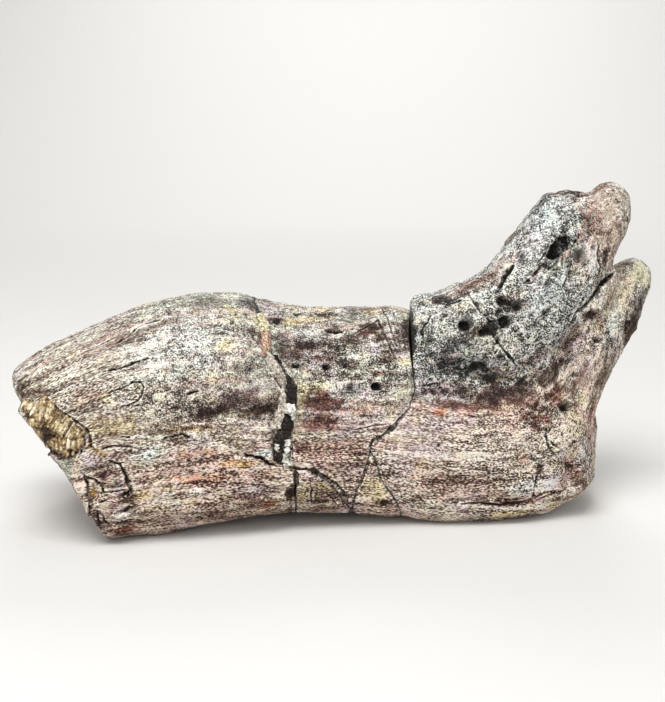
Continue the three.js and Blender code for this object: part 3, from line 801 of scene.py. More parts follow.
def trunk_tint(places):
    """The trunk's palest tones: greenish chalk on top, lilac half way down, rosy cream below."""
    x, _, z = places.T
    rise = z / np.interp(x, CREST[:, 0], CREST[:, 1])
    tint = mixed(np.tile(0.5 * (ROSE + CREAM), (len(places), 1)), CREAM, step(rise, 0.25, 0.55))
    return mixed(tint, 0.5 * (MOSS + CHALK), step(rise, 0.5, 0.85))


def bulge_share(places):
    """How granular the bone looks: most of all on the bulge before the wide crack."""
    x, _, z = places.T
    return 0.75 * step(x, -118 * MM, -75 * MM) * step(z, 34 * MM, 58 * MM)


streaked_bone = bone_material("streaked_bone", contrast=2.75)
weathered("left_fragment", streaked_bone, trunk_grain, trunk_tint,
          LEFT_CRACKS, LEFT_PORES, LEFT_STAINS, LEFT_SWELLS, granular_at=bulge_share)

# The middle fragment: the short block between the wide crack and the steep crack. Its bone is
# warmer, straw yellow along the top and red-brown in the middle, with round pits and a triangular
# facet where a flake came off.
STEEP_CRACK = (
    Crack([(412.6, 350), (414, 372), (415.5, 392)], 0.45, 1.4),
    Crack([(415, 395), (412, 406, 0.7), (400, 420, 0.8), (388, 432, 1.3), (373, 441), (369, 448, 1.5),
           (369.6, 460, 0.8), (367, 469), (361, 484, 0.8), (356, 490, 1.4), (354.5, 501), (351, 512)],
          0.52, 1.4, 0.7),
    Crack([(296, 469, 1.2), (304, 469, 1.5), (312, 470, 1.3), (321, 474.6), (330, 480), (337.5, 485),
           (343, 492.5), (349, 506)], 0.7, 1.6, 0.9),
    Crack([(373, 448), (376, 460), (381, 480), (392, 495), (401, 512)], 0.42, 1.0, 0.7),
)
MIDDLE_CRACKS = WIDE_CRACK + STEEP_CRACK + (
    Crack([(347, 338), (362, 329), (378, 320.7), (383, 330), (391, 350), (398, 360)], 0.45, 0.9),
    Crack([(380, 308), (388, 320), (393, 335), (397, 350)], 0.45, 0.9),
    Crack([(390, 308), (397, 320), (402, 336), (404, 352)], 0.45, 0.9),
    Crack([(291.5, 444), (292, 452), (293, 460)], 0.4, 1.0),
    Crack([(340, 352), (346, 344), (352, 336)], 0.4, 0.6),
    Crack([(324, 330), (335, 332, 2.2), (345, 330)], 0.6, 1.2),
    Crack([(355, 430), (372, 426), (388, 424)], 0.4, 0.6),
    Crack([(303, 362), (330, 352), (352, 356), (375, 348), (396, 352)], 0.5, 1.2, 1, True),
    Crack([(318, 440), (340, 432), (368, 440)], 0.45, 1.0, 1, True),
)
MIDDLE_PORES = (
    Pore(296, 366, 7, 3.2, 3.0), Pore(326, 367, 4.4, 4, 3.0), Pore(345, 366, 3.8, 3.8, 2.8),
    Pore(350, 387, 4.5, 4, 1.6), Pore(376, 387, 6.5, 4.5, 2.6), Pore(338, 348, 5, 5, 0.7),
    Pore(296, 315, 3.4, 2.4, 1.4), Pore(277, 322, 4, 2, 1.4), Pore(331, 430, 2.4, 2, 1.2),
    Pore(404, 430, 2, 2, 1.0), Pore(375, 375, 3, 2, 1.0), Pore(390, 378, 2, 2, 1.0),
    Pore(330, 380, 5, 4, 2.4, 0, 1, True), Pore(352, 395, 4, 3, 1.8, 0, 1, True),
    Pore(310, 340, 4, 3, 1.6, 0, 1, True),
)
MIDDLE_STAINS = (
    Stain(326, 307, 14, 4, 5, STRAW, 0.9, 0.04), Stain(292, 322, 11, 4, 0, STRAW, 0.9, 0.04),
    # The black stains at pixels 275, 321 and 298, 315 are painted shade in two pores.
    Stain(332, 331, 13, 5, 0, UMBER, 0.9, -0.2), Stain(275, 321, 7, 3, 0, SHADE_AND_MATRIX_BLACK, 0.7, -0.16),
    Stain(298, 315, 5, 3, 0, SHADE_AND_MATRIX_BLACK, 0.7, -0.16), Stain(365, 309, 20, 4, -6, UMBER, 0.6, -0.14),
    Stain(300, 350, 20, 6, 8, MAUVE, 0.8, -0.1), Stain(349, 344, 12, 5, -10, UMBER, 0.6, -0.12),
    Stain(298, 336, 26, 7, 8, FROST, 0.8, 0.06), Stain(345, 318, 24, 6, 8, FROST, 0.6, 0.04),
    Stain(368, 331, 17, 7, 24, OXBLOOD, 1.0, -0.14, 0.3), Stain(380, 336, 10, 7, -20, UMBER, 1.0, -0.2),
    Stain(374, 350, 18, 8, 0, LILAC, 0.8, -0.03), Stain(402, 335, 9, 22, 6, MAUVE, 0.8, -0.12),
    # The umber stain at pixel 409, 325 is partly the bone's own brown, partly painted shadow beside the
    # step up to the right fragment.
    Stain(409, 325, 4, 20, 0, UMBER, 0.9, -0.2), Stain(404, 362, 9, 4.5, 5, STRAW, 1.0, 0.02),
    Stain(290, 350, 18, 8, 10, UMBER, 0.5, -0.08), Stain(322, 357, 16, 4, 5, OXBLOOD, 0.7, -0.08),
    Stain(322, 404, 22, 12, 0, OXBLOOD, 0.9, -0.07, 0.3), Stain(316, 425, 22, 9, 0, OXBLOOD, 0.8, -0.07),
    Stain(332, 444, 22, 5, 4, OXBLOOD, 0.6, -0.03, 0.2), Stain(326, 396, 9, 4, 0, OXBLOOD, 1.0, -0.12),
    Stain(301, 398, 5, 20, 0, STRAW, 0.7, 0.05), Stain(335, 452, 36, 10, 5, ROSE, 0.9, -0.01),
    Stain(318, 386, 24, 5, 5, STRAW, 0.5, 0.02), Stain(348, 434, 16, 5, 10, LILAC, 0.7, -0.02),
    Stain(378, 374, 7, 3, 0, RUST, 0.9, -0.02), Stain(352, 390, 10, 7, 0, SLATE, 0.7, -0.04),
    Stain(325, 334, 60, 26, 0, MAUVE, 0.25, -0.04), Stain(330, 314, 8, 3, 0, UMBER, 0.8, -0.2),
    Stain(350, 322, 9, 3, 8, UMBER, 0.8, -0.18),
    Stain(310, 345, 14, 3, 8, OXBLOOD, 0.8, -0.12), Stain(316, 318, 22, 6, 0, STRAW, 0.7, 0.0),
    Stain(372, 314, 14, 4, 0, STRAW, 0.7, -0.02), Stain(352, 364, 14, 5, 0, UMBER, 0.5, -0.1),
    Stain(285, 335, 12, 6, 0, MAUVE, 0.6, -0.1), Stain(388, 352, 10, 12, 0, UMBER, 0.6, -0.14),
    Stain(300, 448, 10, 5, 0, OXBLOOD, 0.6, -0.08), Stain(360, 410, 24, 7, 4, RUST, 0.45, -0.02),
    Stain(385, 402, 20, 10, 0, CREAM, 0.5, 0.03), Stain(330, 470, 40, 6, 8, MAUVE, 0.6, -0.05),
    Stain(340, 420, 36, 16, 0, OXBLOOD, 0.8, -0.08, 0.3, True),
    Stain(330, 330, 40, 10, 0, STRAW, 0.7, 0.05, 0, True),
    Stain(370, 370, 20, 16, 0, SLATE, 0.7, -0.1, 0, True),
    Stain(330, 480, 40, 10, 0, LILAC, 0.8, 0.03, 0, True),
)
MIDDLE_SWELLS = (
    Swell(370, 338, 16, 9, 15, -1.3), Swell(405, 335, 8, 26, 0, -1.6), Swell(300, 400, 8, 26, 0, 0.8),
    Swell(336, 427, 12, 5, 5, 0.9), Swell(335, 355, 34, 8, 3, -0.9),
)
ochre_bone = bone_material("ochre_bone", contrast=2.75)
weathered("middle_fragment", ochre_bone, trunk_grain, trunk_tint,
          MIDDLE_CRACKS, MIDDLE_PORES, MIDDLE_STAINS, MIDDLE_SWELLS, granular_at=bulge_share)

# The right fragment: a fibrous flank below, and above it the pitted grey brow that rises into two
# prongs. The brow's bone is spongy, pale grey with black specks, and large pores open into it. A
# trough parts the two, and runs up into the groove between the prongs. Where the brow rolls under
# it, the trough is dark, partly in the bone's own colour and partly as painted shade.

# Lines of [x, z] points: the trough, the foot of the flank, and the line that parts the prongs.
TROUGH = np.array([(10, 60), (45, 54), (70, 53), (88, 62), (100, 78), (111, 96), (124, 124)]) * MM
FOOT = np.array([(10, -1), (92, -1), (118, 6), (131, 26), (135, 52), (141, 80), (154, 112)]) * MM
PRONG_LINE = np.array([(62, 72), (84, 91), (99, 110), (112, 134), (118, 150)]) * MM
FLANK_GIRTH = 58 * MM


def beside(line, x, z):
    """How far each place is from a line of [x, z] points, above 0 on the left of it."""
    nearest = np.full(len(x), 1.0)
    off = np.zeros(len(x))
    for a, b in zip(line[:-1], line[1:]):
        run = b - a
        share = np.clip(((x - a[0]) * run[0] + (z - a[1]) * run[1]) / (run @ run), 0, 1)
        dx, dz = x - a[0] - share * run[0], z - a[1] - share * run[1]
        far = np.hypot(dx, dz)
        off = np.where(far < nearest, np.sign(run[0] * dz - run[1] * dx) * far, off)
        nearest = np.minimum(nearest, far)
    return off


def flank_grain(places):
    """Coordinates that follow the fibres: level on the flank, then up into the rear prong."""
    x, y, z = places.T
    above, foot = beside(TROUGH, x, z), beside(FOOT, x, z)
    below = -FLANK_GIRTH * np.abs(above) / (np.abs(above) + np.abs(foot) + MM)
    along = x + 0.9 * z * step(x, 50 * MM, 125 * MM)
    return np.stack([along, np.where(above > 0, above, below) + FLANK_GIRTH, y], 1)


def brow_share(places):
    """How spongy the bone is: fully on the brow and the upper prong, half on the rear prong."""
    x, _, z = places.T
    on_brow = step(beside(TROUGH, x, z), -5 * MM, 4 * MM)
    rosy_side = step(-beside(PRONG_LINE, x, z), -1 * MM, 5 * MM) * step(z, 96 * MM, 112 * MM)
    on_rear = 0.5 * step(z, 50 * MM, 75 * MM)
    return np.maximum(on_brow * (1 - 0.6 * rosy_side), on_rear)


def right_tint(places):
    """The palest tones: frosty on the brow and the prong, cream and rose on the flank."""
    flank = mixed(np.tile(CREAM, (len(places), 1)), ROSE, step(lumps(places, 20 * MM, 2, 41.0), 0, 0.5))
    return mixed(flank, 0.5 * (FROST + CHALK), brow_share(places))


RIGHT_CRACKS = STEEP_CRACK + (
    Crack([(464, 287), (470.6, 297), (477, 306), (483, 314), (489.6, 320.7), (494, 336), (497.4, 342),
           (504, 350), (512, 360), (520, 371, 0.6)], 0.5, 1.5),
    Crack([(417, 386.6), (428, 385), (438, 383)], 0.4, 0.8),
    Crack([(514, 264), (508, 272, 1.5), (503, 279, 1.5), (497, 293)], 0.9, 1.8),
    Crack([(617, 270), (608, 280, 1.4), (599, 286, 1.2), (589, 302), (575, 316), (566, 333)], 1.0, 2.4),
    Crack([(521, 430), (525, 437, 1.4), (529, 443, 1.4), (537, 455), (543, 464), (539, 474)], 0.8, 1.4),
    Crack([(460, 504), (480, 503), (496, 505, 1.6), (515, 503), (529, 501), (544, 493), (566, 488)],
          0.7, 1.3),
    Crack([(562, 458), (568, 466), (570, 476), (566, 487)], 0.55, 1.0),
    Crack([(568, 452), (576, 462), (578, 474), (574, 486)], 0.5, 0.9),
    Crack([(556, 452), (561, 462), (563, 474)], 0.5, 0.9),
    Crack([(413, 301), (424, 305), (437, 306), (450, 303), (463, 299)], 0.6, 1.2),
    Crack([(416, 296), (432, 298), (448, 297), (460, 294)], 0.4, 0.7),
    Crack([(523, 283), (532, 283), (544, 274), (553, 265)], 0.4, 0.7),
    Crack([(575, 250), (572, 262), (568, 276), (562, 290)], 0.5, 0.8),
    Crack([(553, 399), (541, 409), (530, 419), (518, 430)], 0.6, 1.2),
    Crack([(548, 440), (556, 447), (563, 453), (570, 466), (582, 477)], 0.6, 1.2),
    Crack([(553, 426), (546, 434), (548, 446), (557, 458), (565, 470)], 0.5, 1.0),
    Crack([(572, 468), (580, 477), (587, 483)], 0.5, 1.0),
    Crack([(541, 466), (537, 478), (533, 492), (534, 502)], 0.7, 1.3),
    Crack([(534, 502), (546, 496), (558, 491), (572, 488), (586, 480)], 0.7, 1.4),
    Crack([(432, 312), (428, 322), (422, 330), (424, 341)], 0.45, 0.9),
    Crack([(436, 370), (448, 366), (462, 370), (474, 365), (486, 369)], 0.4, 0.7),
    Crack([(428, 360), (438, 364), (446, 361)], 0.5, 1.0),
    Crack([(527, 331), (534, 325), (537, 318), (547, 312)], 0.3, 0.6, 0.6),
    Crack([(538, 262), (547, 252), (555, 242), (560, 236)], 0.5, 0.9),
    Crack([(601, 242), (598, 254), (601, 266), (597, 278)], 0.6, 1.1),
    Crack([(599, 212), (592, 216), (584, 229), (575, 242), (571, 248)], 0.4, 0.9, 0.6),
    Crack([(545, 262), (538, 270), (530, 279), (524, 284)], 0.6, 1.2, 0.6),
    Crack([(455, 300), (470, 318), (478, 340), (492, 362), (505, 385)], 0.5, 1.4, 1, True),
    Crack([(430, 450), (470, 442), (510, 448), (548, 440)], 0.5, 1.2, 1, True),
    Crack([(540, 395), (560, 360), (580, 330), (598, 300)], 0.6, 1.4, 1, True),
)
RIGHT_PORES = (
    # The first pore is the shallow hollow around the big pore, painted grey inside as painted shade.
    Pore(464, 324, 13, 10.5, 0.9, 0, 0.5), Pore(465, 325, 7.5, 7, 4.0),
    Pore(484, 332, 6.6, 6.2, 3.4), Pore(492, 326, 6.6, 6.2, 3.4),
    Pore(504, 322, 8.6, 7.6, 4.0), Pore(501, 301, 7, 6.2, 3.2), Pore(517, 307, 6.6, 6, 2.8),
    Pore(509, 304, 5, 4, 2.0), Pore(499, 313, 6, 4, 1.4, 30, 0.7),
    Pore(556.5, 248, 18.5, 7.6, 3.2, 48, 0.42), Pore(562, 241, 6, 4, 2.0, 48, 0.7),
    Pore(549, 259, 4, 3, 1.6), Pore(556, 261, 3, 2.4, 1.2),
    Pore(574, 241, 2.2, 3, 1.4), Pore(600, 234, 1.8, 1.8, 1.2), Pore(605, 252, 2, 1.8, 1.2),
    Pore(580, 195, 5, 3.6, 3.0), Pore(470, 340, 6, 5, 3.5, 0, 1, True),
    Pore(495, 322, 5, 5, 2.6, 0, 1, True), Pore(452, 352, 4, 3, 2, 0, 1, True),
    Pore(520, 290, 8, 5, 3.2, 30, 1, True), Pore(552, 250, 12, 5, 3, 50, 0.8, True),
    Pore(590, 230, 4, 3, 2, 0, 1, True), Pore(560, 330, 5, 4, 2.4, 0, 1, True),
    Pore(508, 342, 4, 4, 2.2, 0, 1, True), Pore(575, 420, 5, 4, 2.4, 0, 1, True),
    Pore(508, 311, 3, 3, 1.8), Pore(560, 361, 5.5, 3.4, 2.6), Pore(564.5, 406, 8.5, 5, 4.6, 12),
    Pore(548, 429, 3, 3, 1.4), Pore(597, 340, 4.5, 3.6, 2.4), Pore(592, 315, 6, 5, 1.8),
    Pore(627, 326, 4, 9, 2.6), Pore(450, 471, 2.6, 2.6, 1.2), Pore(439, 445, 2.4, 2.4, 1.2),
    Pore(482, 425, 5, 2.6, 0.7), Pore(494, 435, 5, 2.6, 0.7),
    Pore(452, 363, 7, 3, 1.4), Pore(478, 366, 10, 4, 1.8), Pore(487, 313, 3.4, 3, 1.6),
    Pore(430, 341, 4, 3, 1.2), Pore(447, 352, 5, 3, 1.4), Pore(500, 357, 4, 3, 1.2),
    Pore(575, 375, 5, 3, 1.4), Pore(522, 255, 3, 4, 1.2), Pore(541, 215, 3, 4, 1.2),
)
RIGHT_STAINS = (
    Stain(466, 288, 32, 7, 22, ROSE, 0.9, -0.05, 0.4), Stain(500, 270, 20, 7, 46, ROSE, 0.9, -0.03, 0.4),
    Stain(478, 281, 32, 3, 28, RUST, 0.4, -0.08), Stain(505, 266, 11, 4, 46, CREAM, 0.9, 0.08),
    Stain(440, 300, 26, 5, -4, UMBER, 1.0, -0.24), Stain(477, 331, 7, 7, 0, OCHRE, 0.9, 0.02),
    # The black stain at pixel 444, 302 is painted shade in a crack.
    Stain(444, 302, 20, 2.5, -6, SHADE_AND_MATRIX_BLACK, 0.9, -0.2), Stain(484, 336, 22, 15, -20, CREAM, 0.6, 0.09),
    # Painted shadow beside the step where this fragment stands proud of the middle one.
    Stain(412, 328, 3, 28, 0, SHADE_AND_MATRIX_BLACK, 0.9, -0.25), Stain(413, 330, 5, 10, 0, SHADE_AND_MATRIX_BLACK, 0.9, -0.25),
    # Pixels 444 to 500, rows 365 to 378: the dark band under the brow and the shadow below it, partly the
    # bone's own colour and partly painted shade.
    Stain(476, 367, 9, 5, 0, SHADE_AND_MATRIX_BLACK, 0.8, -0.25), Stain(444, 365, 8, 4, 0, SHADE_AND_MATRIX_BLACK, 0.8, -0.2),
    Stain(458, 371, 24, 4, -4, SHADE_AND_MATRIX_BLACK, 0.7, -0.16), Stain(500, 378, 20, 6, -6, UMBER, 0.9, -0.14, 0.4),
    Stain(538, 272, 15, 4, 46, MAUVE, 1.0, -0.04, 0.3), Stain(566, 254, 14, 4, 52, ROSE, 1.0, 0.04, 0.4),
    Stain(587, 222, 5, 24, -28, RUST, 0.7, -0.02, 0.4), Stain(597, 214, 8, 3, 40, RUST, 0.8, -0.1),
    Stain(581, 254, 7, 11, -20, SLATE, 0.9, -0.04, 0.6), Stain(594, 262, 6, 18, -10, FROST, 0.8, 0.06),
    Stain(612, 222, 14, 34, 6, CREAM, 0.7, 0.02, 0.4), Stain(556, 195, 6, 3, 0, RUST, 0.8, -0.06),
    Stain(542, 204, 4, 8, -40, UMBER, 0.9, -0.2), Stain(512, 235, 4, 16, -40, UMBER, 0.7, -0.14),
    Stain(628, 263, 6, 4, 0, UMBER, 0.7, -0.12), Stain(480, 455, 75, 38, 0, CREAM, 0.5, 0.09),
    Stain(470, 385, 60, 10, 0, UMBER, 0.9, -0.14, 0.2, True),
    Stain(545, 400, 30, 18, 0, OXBLOOD, 0.8, -0.12, 0.3, True),
    Stain(575, 450, 20, 24, 0, STRAW, 0.6, 0.04, 0, True),
    Stain(480, 455, 55, 18, 0, CREAM, 0.7, 0.1, 0, True),
    Stain(440, 488, 36, 10, 0, LILAC, 0.7, 0.04, 0, True),
    Stain(480, 320, 40, 24, 0, CHALK, 0.5, 0.1, 0, True),
    Stain(600, 215, 24, 30, 0, ROSE, 0.7, 0.04, 0.3, True),
    Stain(560, 260, 30, 40, 30, FROST, 0.5, 0.08, 0, True),
    Stain(630, 290, 20, 30, 0, STRAW, 0.7, 0.06, 0.2, True),
    Stain(440, 325, 26, 26, 0, 0.5 * (FROST + CREAM), 0.7, 0.06),
    Stain(530, 330, 30, 24, 30, 0.5 * (FROST + CREAM), 0.6, 0.06),
    # At pixels 452, 364 and 480, 374: the dark band under the brow, partly its own colour and partly
    # painted shade where it rolls under.
    Stain(460, 348, 36, 16, 0, SLATE, 0.6, -0.03), Stain(452, 364, 46, 14, -6, SLATE, 0.7, -0.12),
    Stain(480, 374, 20, 6, -5, SHADE_AND_MATRIX_BLACK, 0.6, -0.1), Stain(500, 345, 26, 12, 20, CREAM, 0.6, 0.02),
    Stain(604, 222, 25, 44, 15, ROSE, 0.8, 0.02), Stain(612, 205, 14, 20, 0, CREAM, 0.7, 0.04),
    Stain(590, 230, 6, 34, 14, OXBLOOD, 0.5, -0.03),
    # The black stain at pixel 583, 192 is painted shade in a pore.
    Stain(603, 184, 14, 5, 15, UMBER, 0.8, -0.14), Stain(583, 192, 5, 5, 0, SHADE_AND_MATRIX_BLACK, 0.8, -0.16),
    Stain(520, 222, 7, 34, -38, UMBER, 0.8, -0.12), Stain(560, 191, 26, 5, 5, UMBER, 0.8, -0.12),
    Stain(500, 395, 62, 12, -2, OXBLOOD, 0.8, -0.16, 0.4), Stain(440, 388, 26, 8, 0, MAUVE, 0.8, -0.1),
    Stain(475, 406, 34, 8, 0, OXBLOOD, 0.7, -0.1, 0.3), Stain(540, 378, 26, 11, 20, UMBER, 0.9, -0.2, 0.3),
    Stain(532, 360, 24, 6, 24, MAUVE, 0.8, -0.14), Stain(538, 416, 17, 12, 42, OXBLOOD, 0.9, -0.2, 0.2),
    Stain(556, 398, 12, 14, 0, OXBLOOD, 0.8, -0.14), Stain(532, 446, 6, 20, 30, MAUVE, 0.8, -0.16),
    Stain(523, 459, 9, 8, 0, RUST, 0.5, -0.04), Stain(521, 487, 13, 8, 0, FROST, 0.7, 0.02),
    Stain(512, 514, 20, 5, 0, STRAW, 0.9, 0.04), Stain(552, 505, 7, 3.5, 0, STRAW, 1.0, 0.06),
    Stain(520, 502, 46, 4, 2, OXBLOOD, 0.8, -0.12), Stain(575, 424, 14, 16, 20, STRAW, 0.6, 0.02),
    Stain(642, 275, 12, 14, 0, 0.5 * (STRAW + MOSS), 1.0, 0.16, 0.4),
    Stain(618, 300, 12, 30, -35, 0.5 * (STRAW + CREAM), 0.8, 0.06, 0.2),
    Stain(634, 328, 9, 24, -15, UMBER, 0.9, -0.18), Stain(604, 372, 7, 26, -20, UMBER, 0.6, -0.12),
    Stain(592, 315, 9, 8, 0, OXBLOOD, 0.8, -0.1), Stain(572, 335, 16, 10, 45, UMBER, 0.6, -0.12),
    Stain(572, 470, 12, 18, 0, OXBLOOD, 0.3, 0.02), Stain(585, 450, 8, 22, 0, FROST, 0.8, 0.06),
    Stain(548, 478, 12, 8, 30, FROST, 0.7, 0.06), Stain(440, 412, 7, 5, 0, RUST, 0.9, 0.0),
    Stain(440, 425, 34, 8, 2, LILAC, 0.7, 0.03), Stain(430, 450, 20, 8, 0, LILAC, 0.7, 0.02),
    Stain(490, 455, 40, 18, 0, CHALK, 0.4, 0.02), Stain(450, 488, 40, 9, 0, ROSE, 0.7, -0.02),
    Stain(548, 300, 26, 18, 35, FROST, 0.8, 0.04), Stain(546, 215, 18, 24, -30, FROST, 0.8, 0.03),
    Stain(537, 386, 4, 15, 25, CREAM, 0.8, 0.14), Stain(568, 432, 14, 16, 0, CREAM, 0.7, 0.08),
    Stain(541, 470, 4, 6, 0, UMBER, 0.9, -0.28), Stain(512, 500, 30, 3, 0, OXBLOOD, 0.9, -0.16),
    Stain(558, 413, 6, 4, 0, MOSS, 0.8, -0.08), Stain(553, 476, 9, 10, 0, LILAC, 0.7, 0.06),
    Stain(578, 478, 5, 12, 40, UMBER, 0.7, -0.1), Stain(574, 454, 14, 6, -50, UMBER, 0.3, -0.02),
    Stain(566, 466, 3, 18, 32, UMBER, 0.7, -0.1), Stain(640, 300, 8, 14, -20, SLATE, 0.8, -0.1),
    Stain(612, 322, 7, 22, -30, FROST, 0.7, 0.1), Stain(600, 326, 6, 5, 0, RUST, 0.4, -0.1),
    Stain(603, 268, 3, 22, -14, SHADE_AND_MATRIX_BLACK, 0.7, -0.16), Stain(594, 258, 3, 22, -10, CHALK, 0.8, 0.12),
    # The mauve stain at pixel 505, 372 is painted shadow under the brow.
    Stain(420, 330, 9, 7, 0, SLATE, 0.6, -0.12), Stain(505, 372, 18, 5, -10, MAUVE, 0.9, -0.1, 0.4),
    Stain(540, 318, 22, 5, 45, SLATE, 0.7, -0.1), Stain(515, 302, 14, 11, 0, UMBER, 0.5, -0.12),
)
RIGHT_SWELLS = (
    Swell(580, 255, 7, 16, -20, -2.4), Swell(592, 240, 8, 34, -12, 1.2), Swell(575, 465, 16, 24, 0, 2.0),
    Swell(413, 318, 4, 7, 0, -1.0), Swell(412, 345, 4, 6, 0, -0.8), Swell(416, 299, 6, 4, 0, -0.8),
    Swell(413, 372, 4, 8, 0, -0.8), Swell(503, 268, 16, 3.5, 46, 1.4), Swell(444, 304, 18, 2.5, -6, -0.9),
    Swell(560, 262, 16, 3, 48, 1.0), Swell(546, 268, 14, 3, 46, -1.2), Swell(586, 222, 3, 22, -28, 1.0),
    Swell(480, 330, 40, 24, 0, 1.6, True), Swell(470, 388, 50, 8, 0, -2.2, True),
    Swell(545, 400, 24, 18, 0, -2.0, True), Swell(580, 260, 8, 26, -20, -1.8, True),
    Swell(534, 452, 8, 24, 30, -2.2), Swell(556, 405, 12, 12, 0, -1.4), Swell(490, 276, 22, 4, 42, 1.2),
    Swell(552, 478, 10, 10, 0, 1.6), Swell(512, 512, 40, 4, 2, 1.0), Swell(600, 350, 10, 30, -30, 1.0),
    Swell(566, 432, 14, 17, 0, 1.8), Swell(538, 417, 16, 9, 42, -1.8), Swell(580, 468, 9, 14, 20, 1.4),
    Swell(520, 487, 13, 8, 0, 1.4), Swell(541, 470, 4, 7, 0, -1.4), Swell(505, 500, 40, 3, 0, -1.2),
    Swell(566, 493, 22, 3, 22, 1.0), Swell(538, 386, 4, 16, 25, 1.2), Swell(456, 362, 34, 5, -4, -1.2),
)
pitted_bone = bone_material("pitted_bone", contrast=3.1)
weathered("right_fragment", pitted_bone, flank_grain, right_tint,
          RIGHT_CRACKS, RIGHT_PORES, RIGHT_STAINS, RIGHT_SWELLS, spongy_at=brow_share)

# The two wedges at the bottom: chips that broke out of the middle fragment and were glued back.
# The left one is brown and split upright, the right one cream with a dark pit at its foot.
LEFT_WEDGE_CRACKS = WIDE_CRACK + STEEP_CRACK + (
    Crack([(312, 487), (311, 496), (312, 505)], 0.4, 1.0),
    Crack([(325, 492), (333, 500), (340, 507)], 0.35, 0.7),
)
LEFT_WEDGE_PORES = (Pore(316, 502, 2.8, 2.8, 1.4),)
LEFT_WEDGE_STAINS = (
    Stain(320, 494, 30, 14, 0, UMBER, 0.6, -0.06), Stain(303, 496, 5, 14, 0, STRAW, 0.7),
    Stain(328, 486, 12, 4, -20, STRAW, 0.6, 0.03),
)
RIGHT_WEDGE_PORES = (Pore(385, 503, 6, 3.4, 1.8),)
RIGHT_WEDGE_STAINS = (
    Stain(372, 490, 14, 16, 0, STRAW, 0.6, 0.02), Stain(386, 502, 8, 4, 0, UMBER, 0.7, -0.1),
)
weathered("left_wedge", ochre_bone, trunk_grain, trunk_tint,
          LEFT_WEDGE_CRACKS, LEFT_WEDGE_PORES, LEFT_WEDGE_STAINS)
weathered("right_wedge", ochre_bone, trunk_grain, trunk_tint,
          STEEP_CRACK, RIGHT_WEDGE_PORES, RIGHT_WEDGE_STAINS)

# The filling of the wide crack: straw and rusty clay at the top, a sliver of bone below them, then
# a black ribbed matrix with a ledge of bone on its left bank. The clay and the matrix come from the
# ground that the bone lay in.
BANK_OFFSET = 13
ROWS_PER_PIXEL = 2.2
FILLING_DEPTH = 1.4 * MM


def banks_at(px, py):
    """The bone to the left and to the right of a pixel in the wide crack."""
    return found_at(px - BANK_OFFSET, py)[0], found_at(px + BANK_OFFSET, py)[0]


def ramp_of(*stops):
    """The stops of a colour ramp, each named by its position and its colour's screen values."""
    return [(position, (*light_of(*screen), 1)) for position, *screen in stops]


def grainy_material(name, tones, lumps_per_metre, roughness):
    """A mineral in several tones, with noise for its grain and its bumps."""
    material, start = new_material(name, roughness)
    body = start.node("ShaderNodeTexCoord", output="Object")
    grain = start.node("ShaderNodeTexNoise", inputs={
        "Vector": body, "Scale": lumps_per_metre, "Detail": 4.0, "Roughness": 0.7})
    spread = 0.5 + 1.7 * (grain - 0.5)
    start.node("ShaderNodeValToRGB", stops=tones, inputs={0: spread}).to("Base Color")
    start.node("ShaderNodeBump", inputs={"Height": grain, "Distance": 0.8 * MM}).to("Normal")
    return material


def finished(name, bm, material):
    """Turns a bmesh into a piece of its own, and gives back its mesh."""
    mesh = bpy.data.meshes.new(name)
    bmesh.ops.recalc_face_normals(bm, faces=bm.faces)
    bm.to_mesh(mesh)
    bm.free()
    attach(mesh, name, material)
    return mesh


def crack_filling(name, path, half_width, sink, rib, material):
    """A closed strip of filling that lies along a crack, with ribs across it. A third number at a
    point of its path makes it wider or narrower there."""
    points = [Vector((*p, 1)) if len(p) == 2 else Vector(p) for p in path]
    ends = [0.0]
    for a, b in zip(points, points[1:]):
        ends.append(ends[-1] + (b - a).length)
    bm = bmesh.new()
    bmesh.ops.create_grid(bm, x_segments=8, y_segments=int(ROWS_PER_PIXEL * ends[-1]), size=1)
    for vertex in bm.verts:
        u, v = vertex.co.x, vertex.co.y
        run = ends[-1] * (v + 1) / 2
        k = max(i for i in range(len(points) - 1) if ends[i] <= run + TINY)
        px, py, wide = points[k].lerp(points[k + 1], (run - ends[k]) / (ends[k + 1] - ends[k]))
        left, right = banks_at(px, py)
        middle = (left + right) / 2
        across = (right - left).normalized()
        ripple = math.sin(run * 1.35 + 2 * noise.noise(middle / (3 * MM)))
        lump = noise.fractal(middle / (2.4 * MM) + Vector((u, 0, 0)), 1.0, 2.0, 3)
        ragged = Vector((3 * math.copysign(1, u), 0, 9))
        fray = noise.fractal(middle / (3.1 * MM) + ragged, 1.0, 2.0, 3)
        end = max(0, 5 * abs(v) - 4)
        rise = 0.5 * (1 - u * u) + rib * ripple * (1 - u * u) + 0.5 * lump - sink - 1.4 * end
        reach = half_width * wide * (1 + 0.5 * fray) * (1 - 0.6 * end)
        vertex.co = middle + across * (u * reach * MM)
        vertex.co += VIEW_BACK * rise * MM
    bmesh.ops.recalc_face_normals(bm, faces=bm.faces)
    bmesh.ops.solidify(bm, geom=bm.faces[:], thickness=FILLING_DEPTH)
    finished(name, bm, material).shade_smooth()


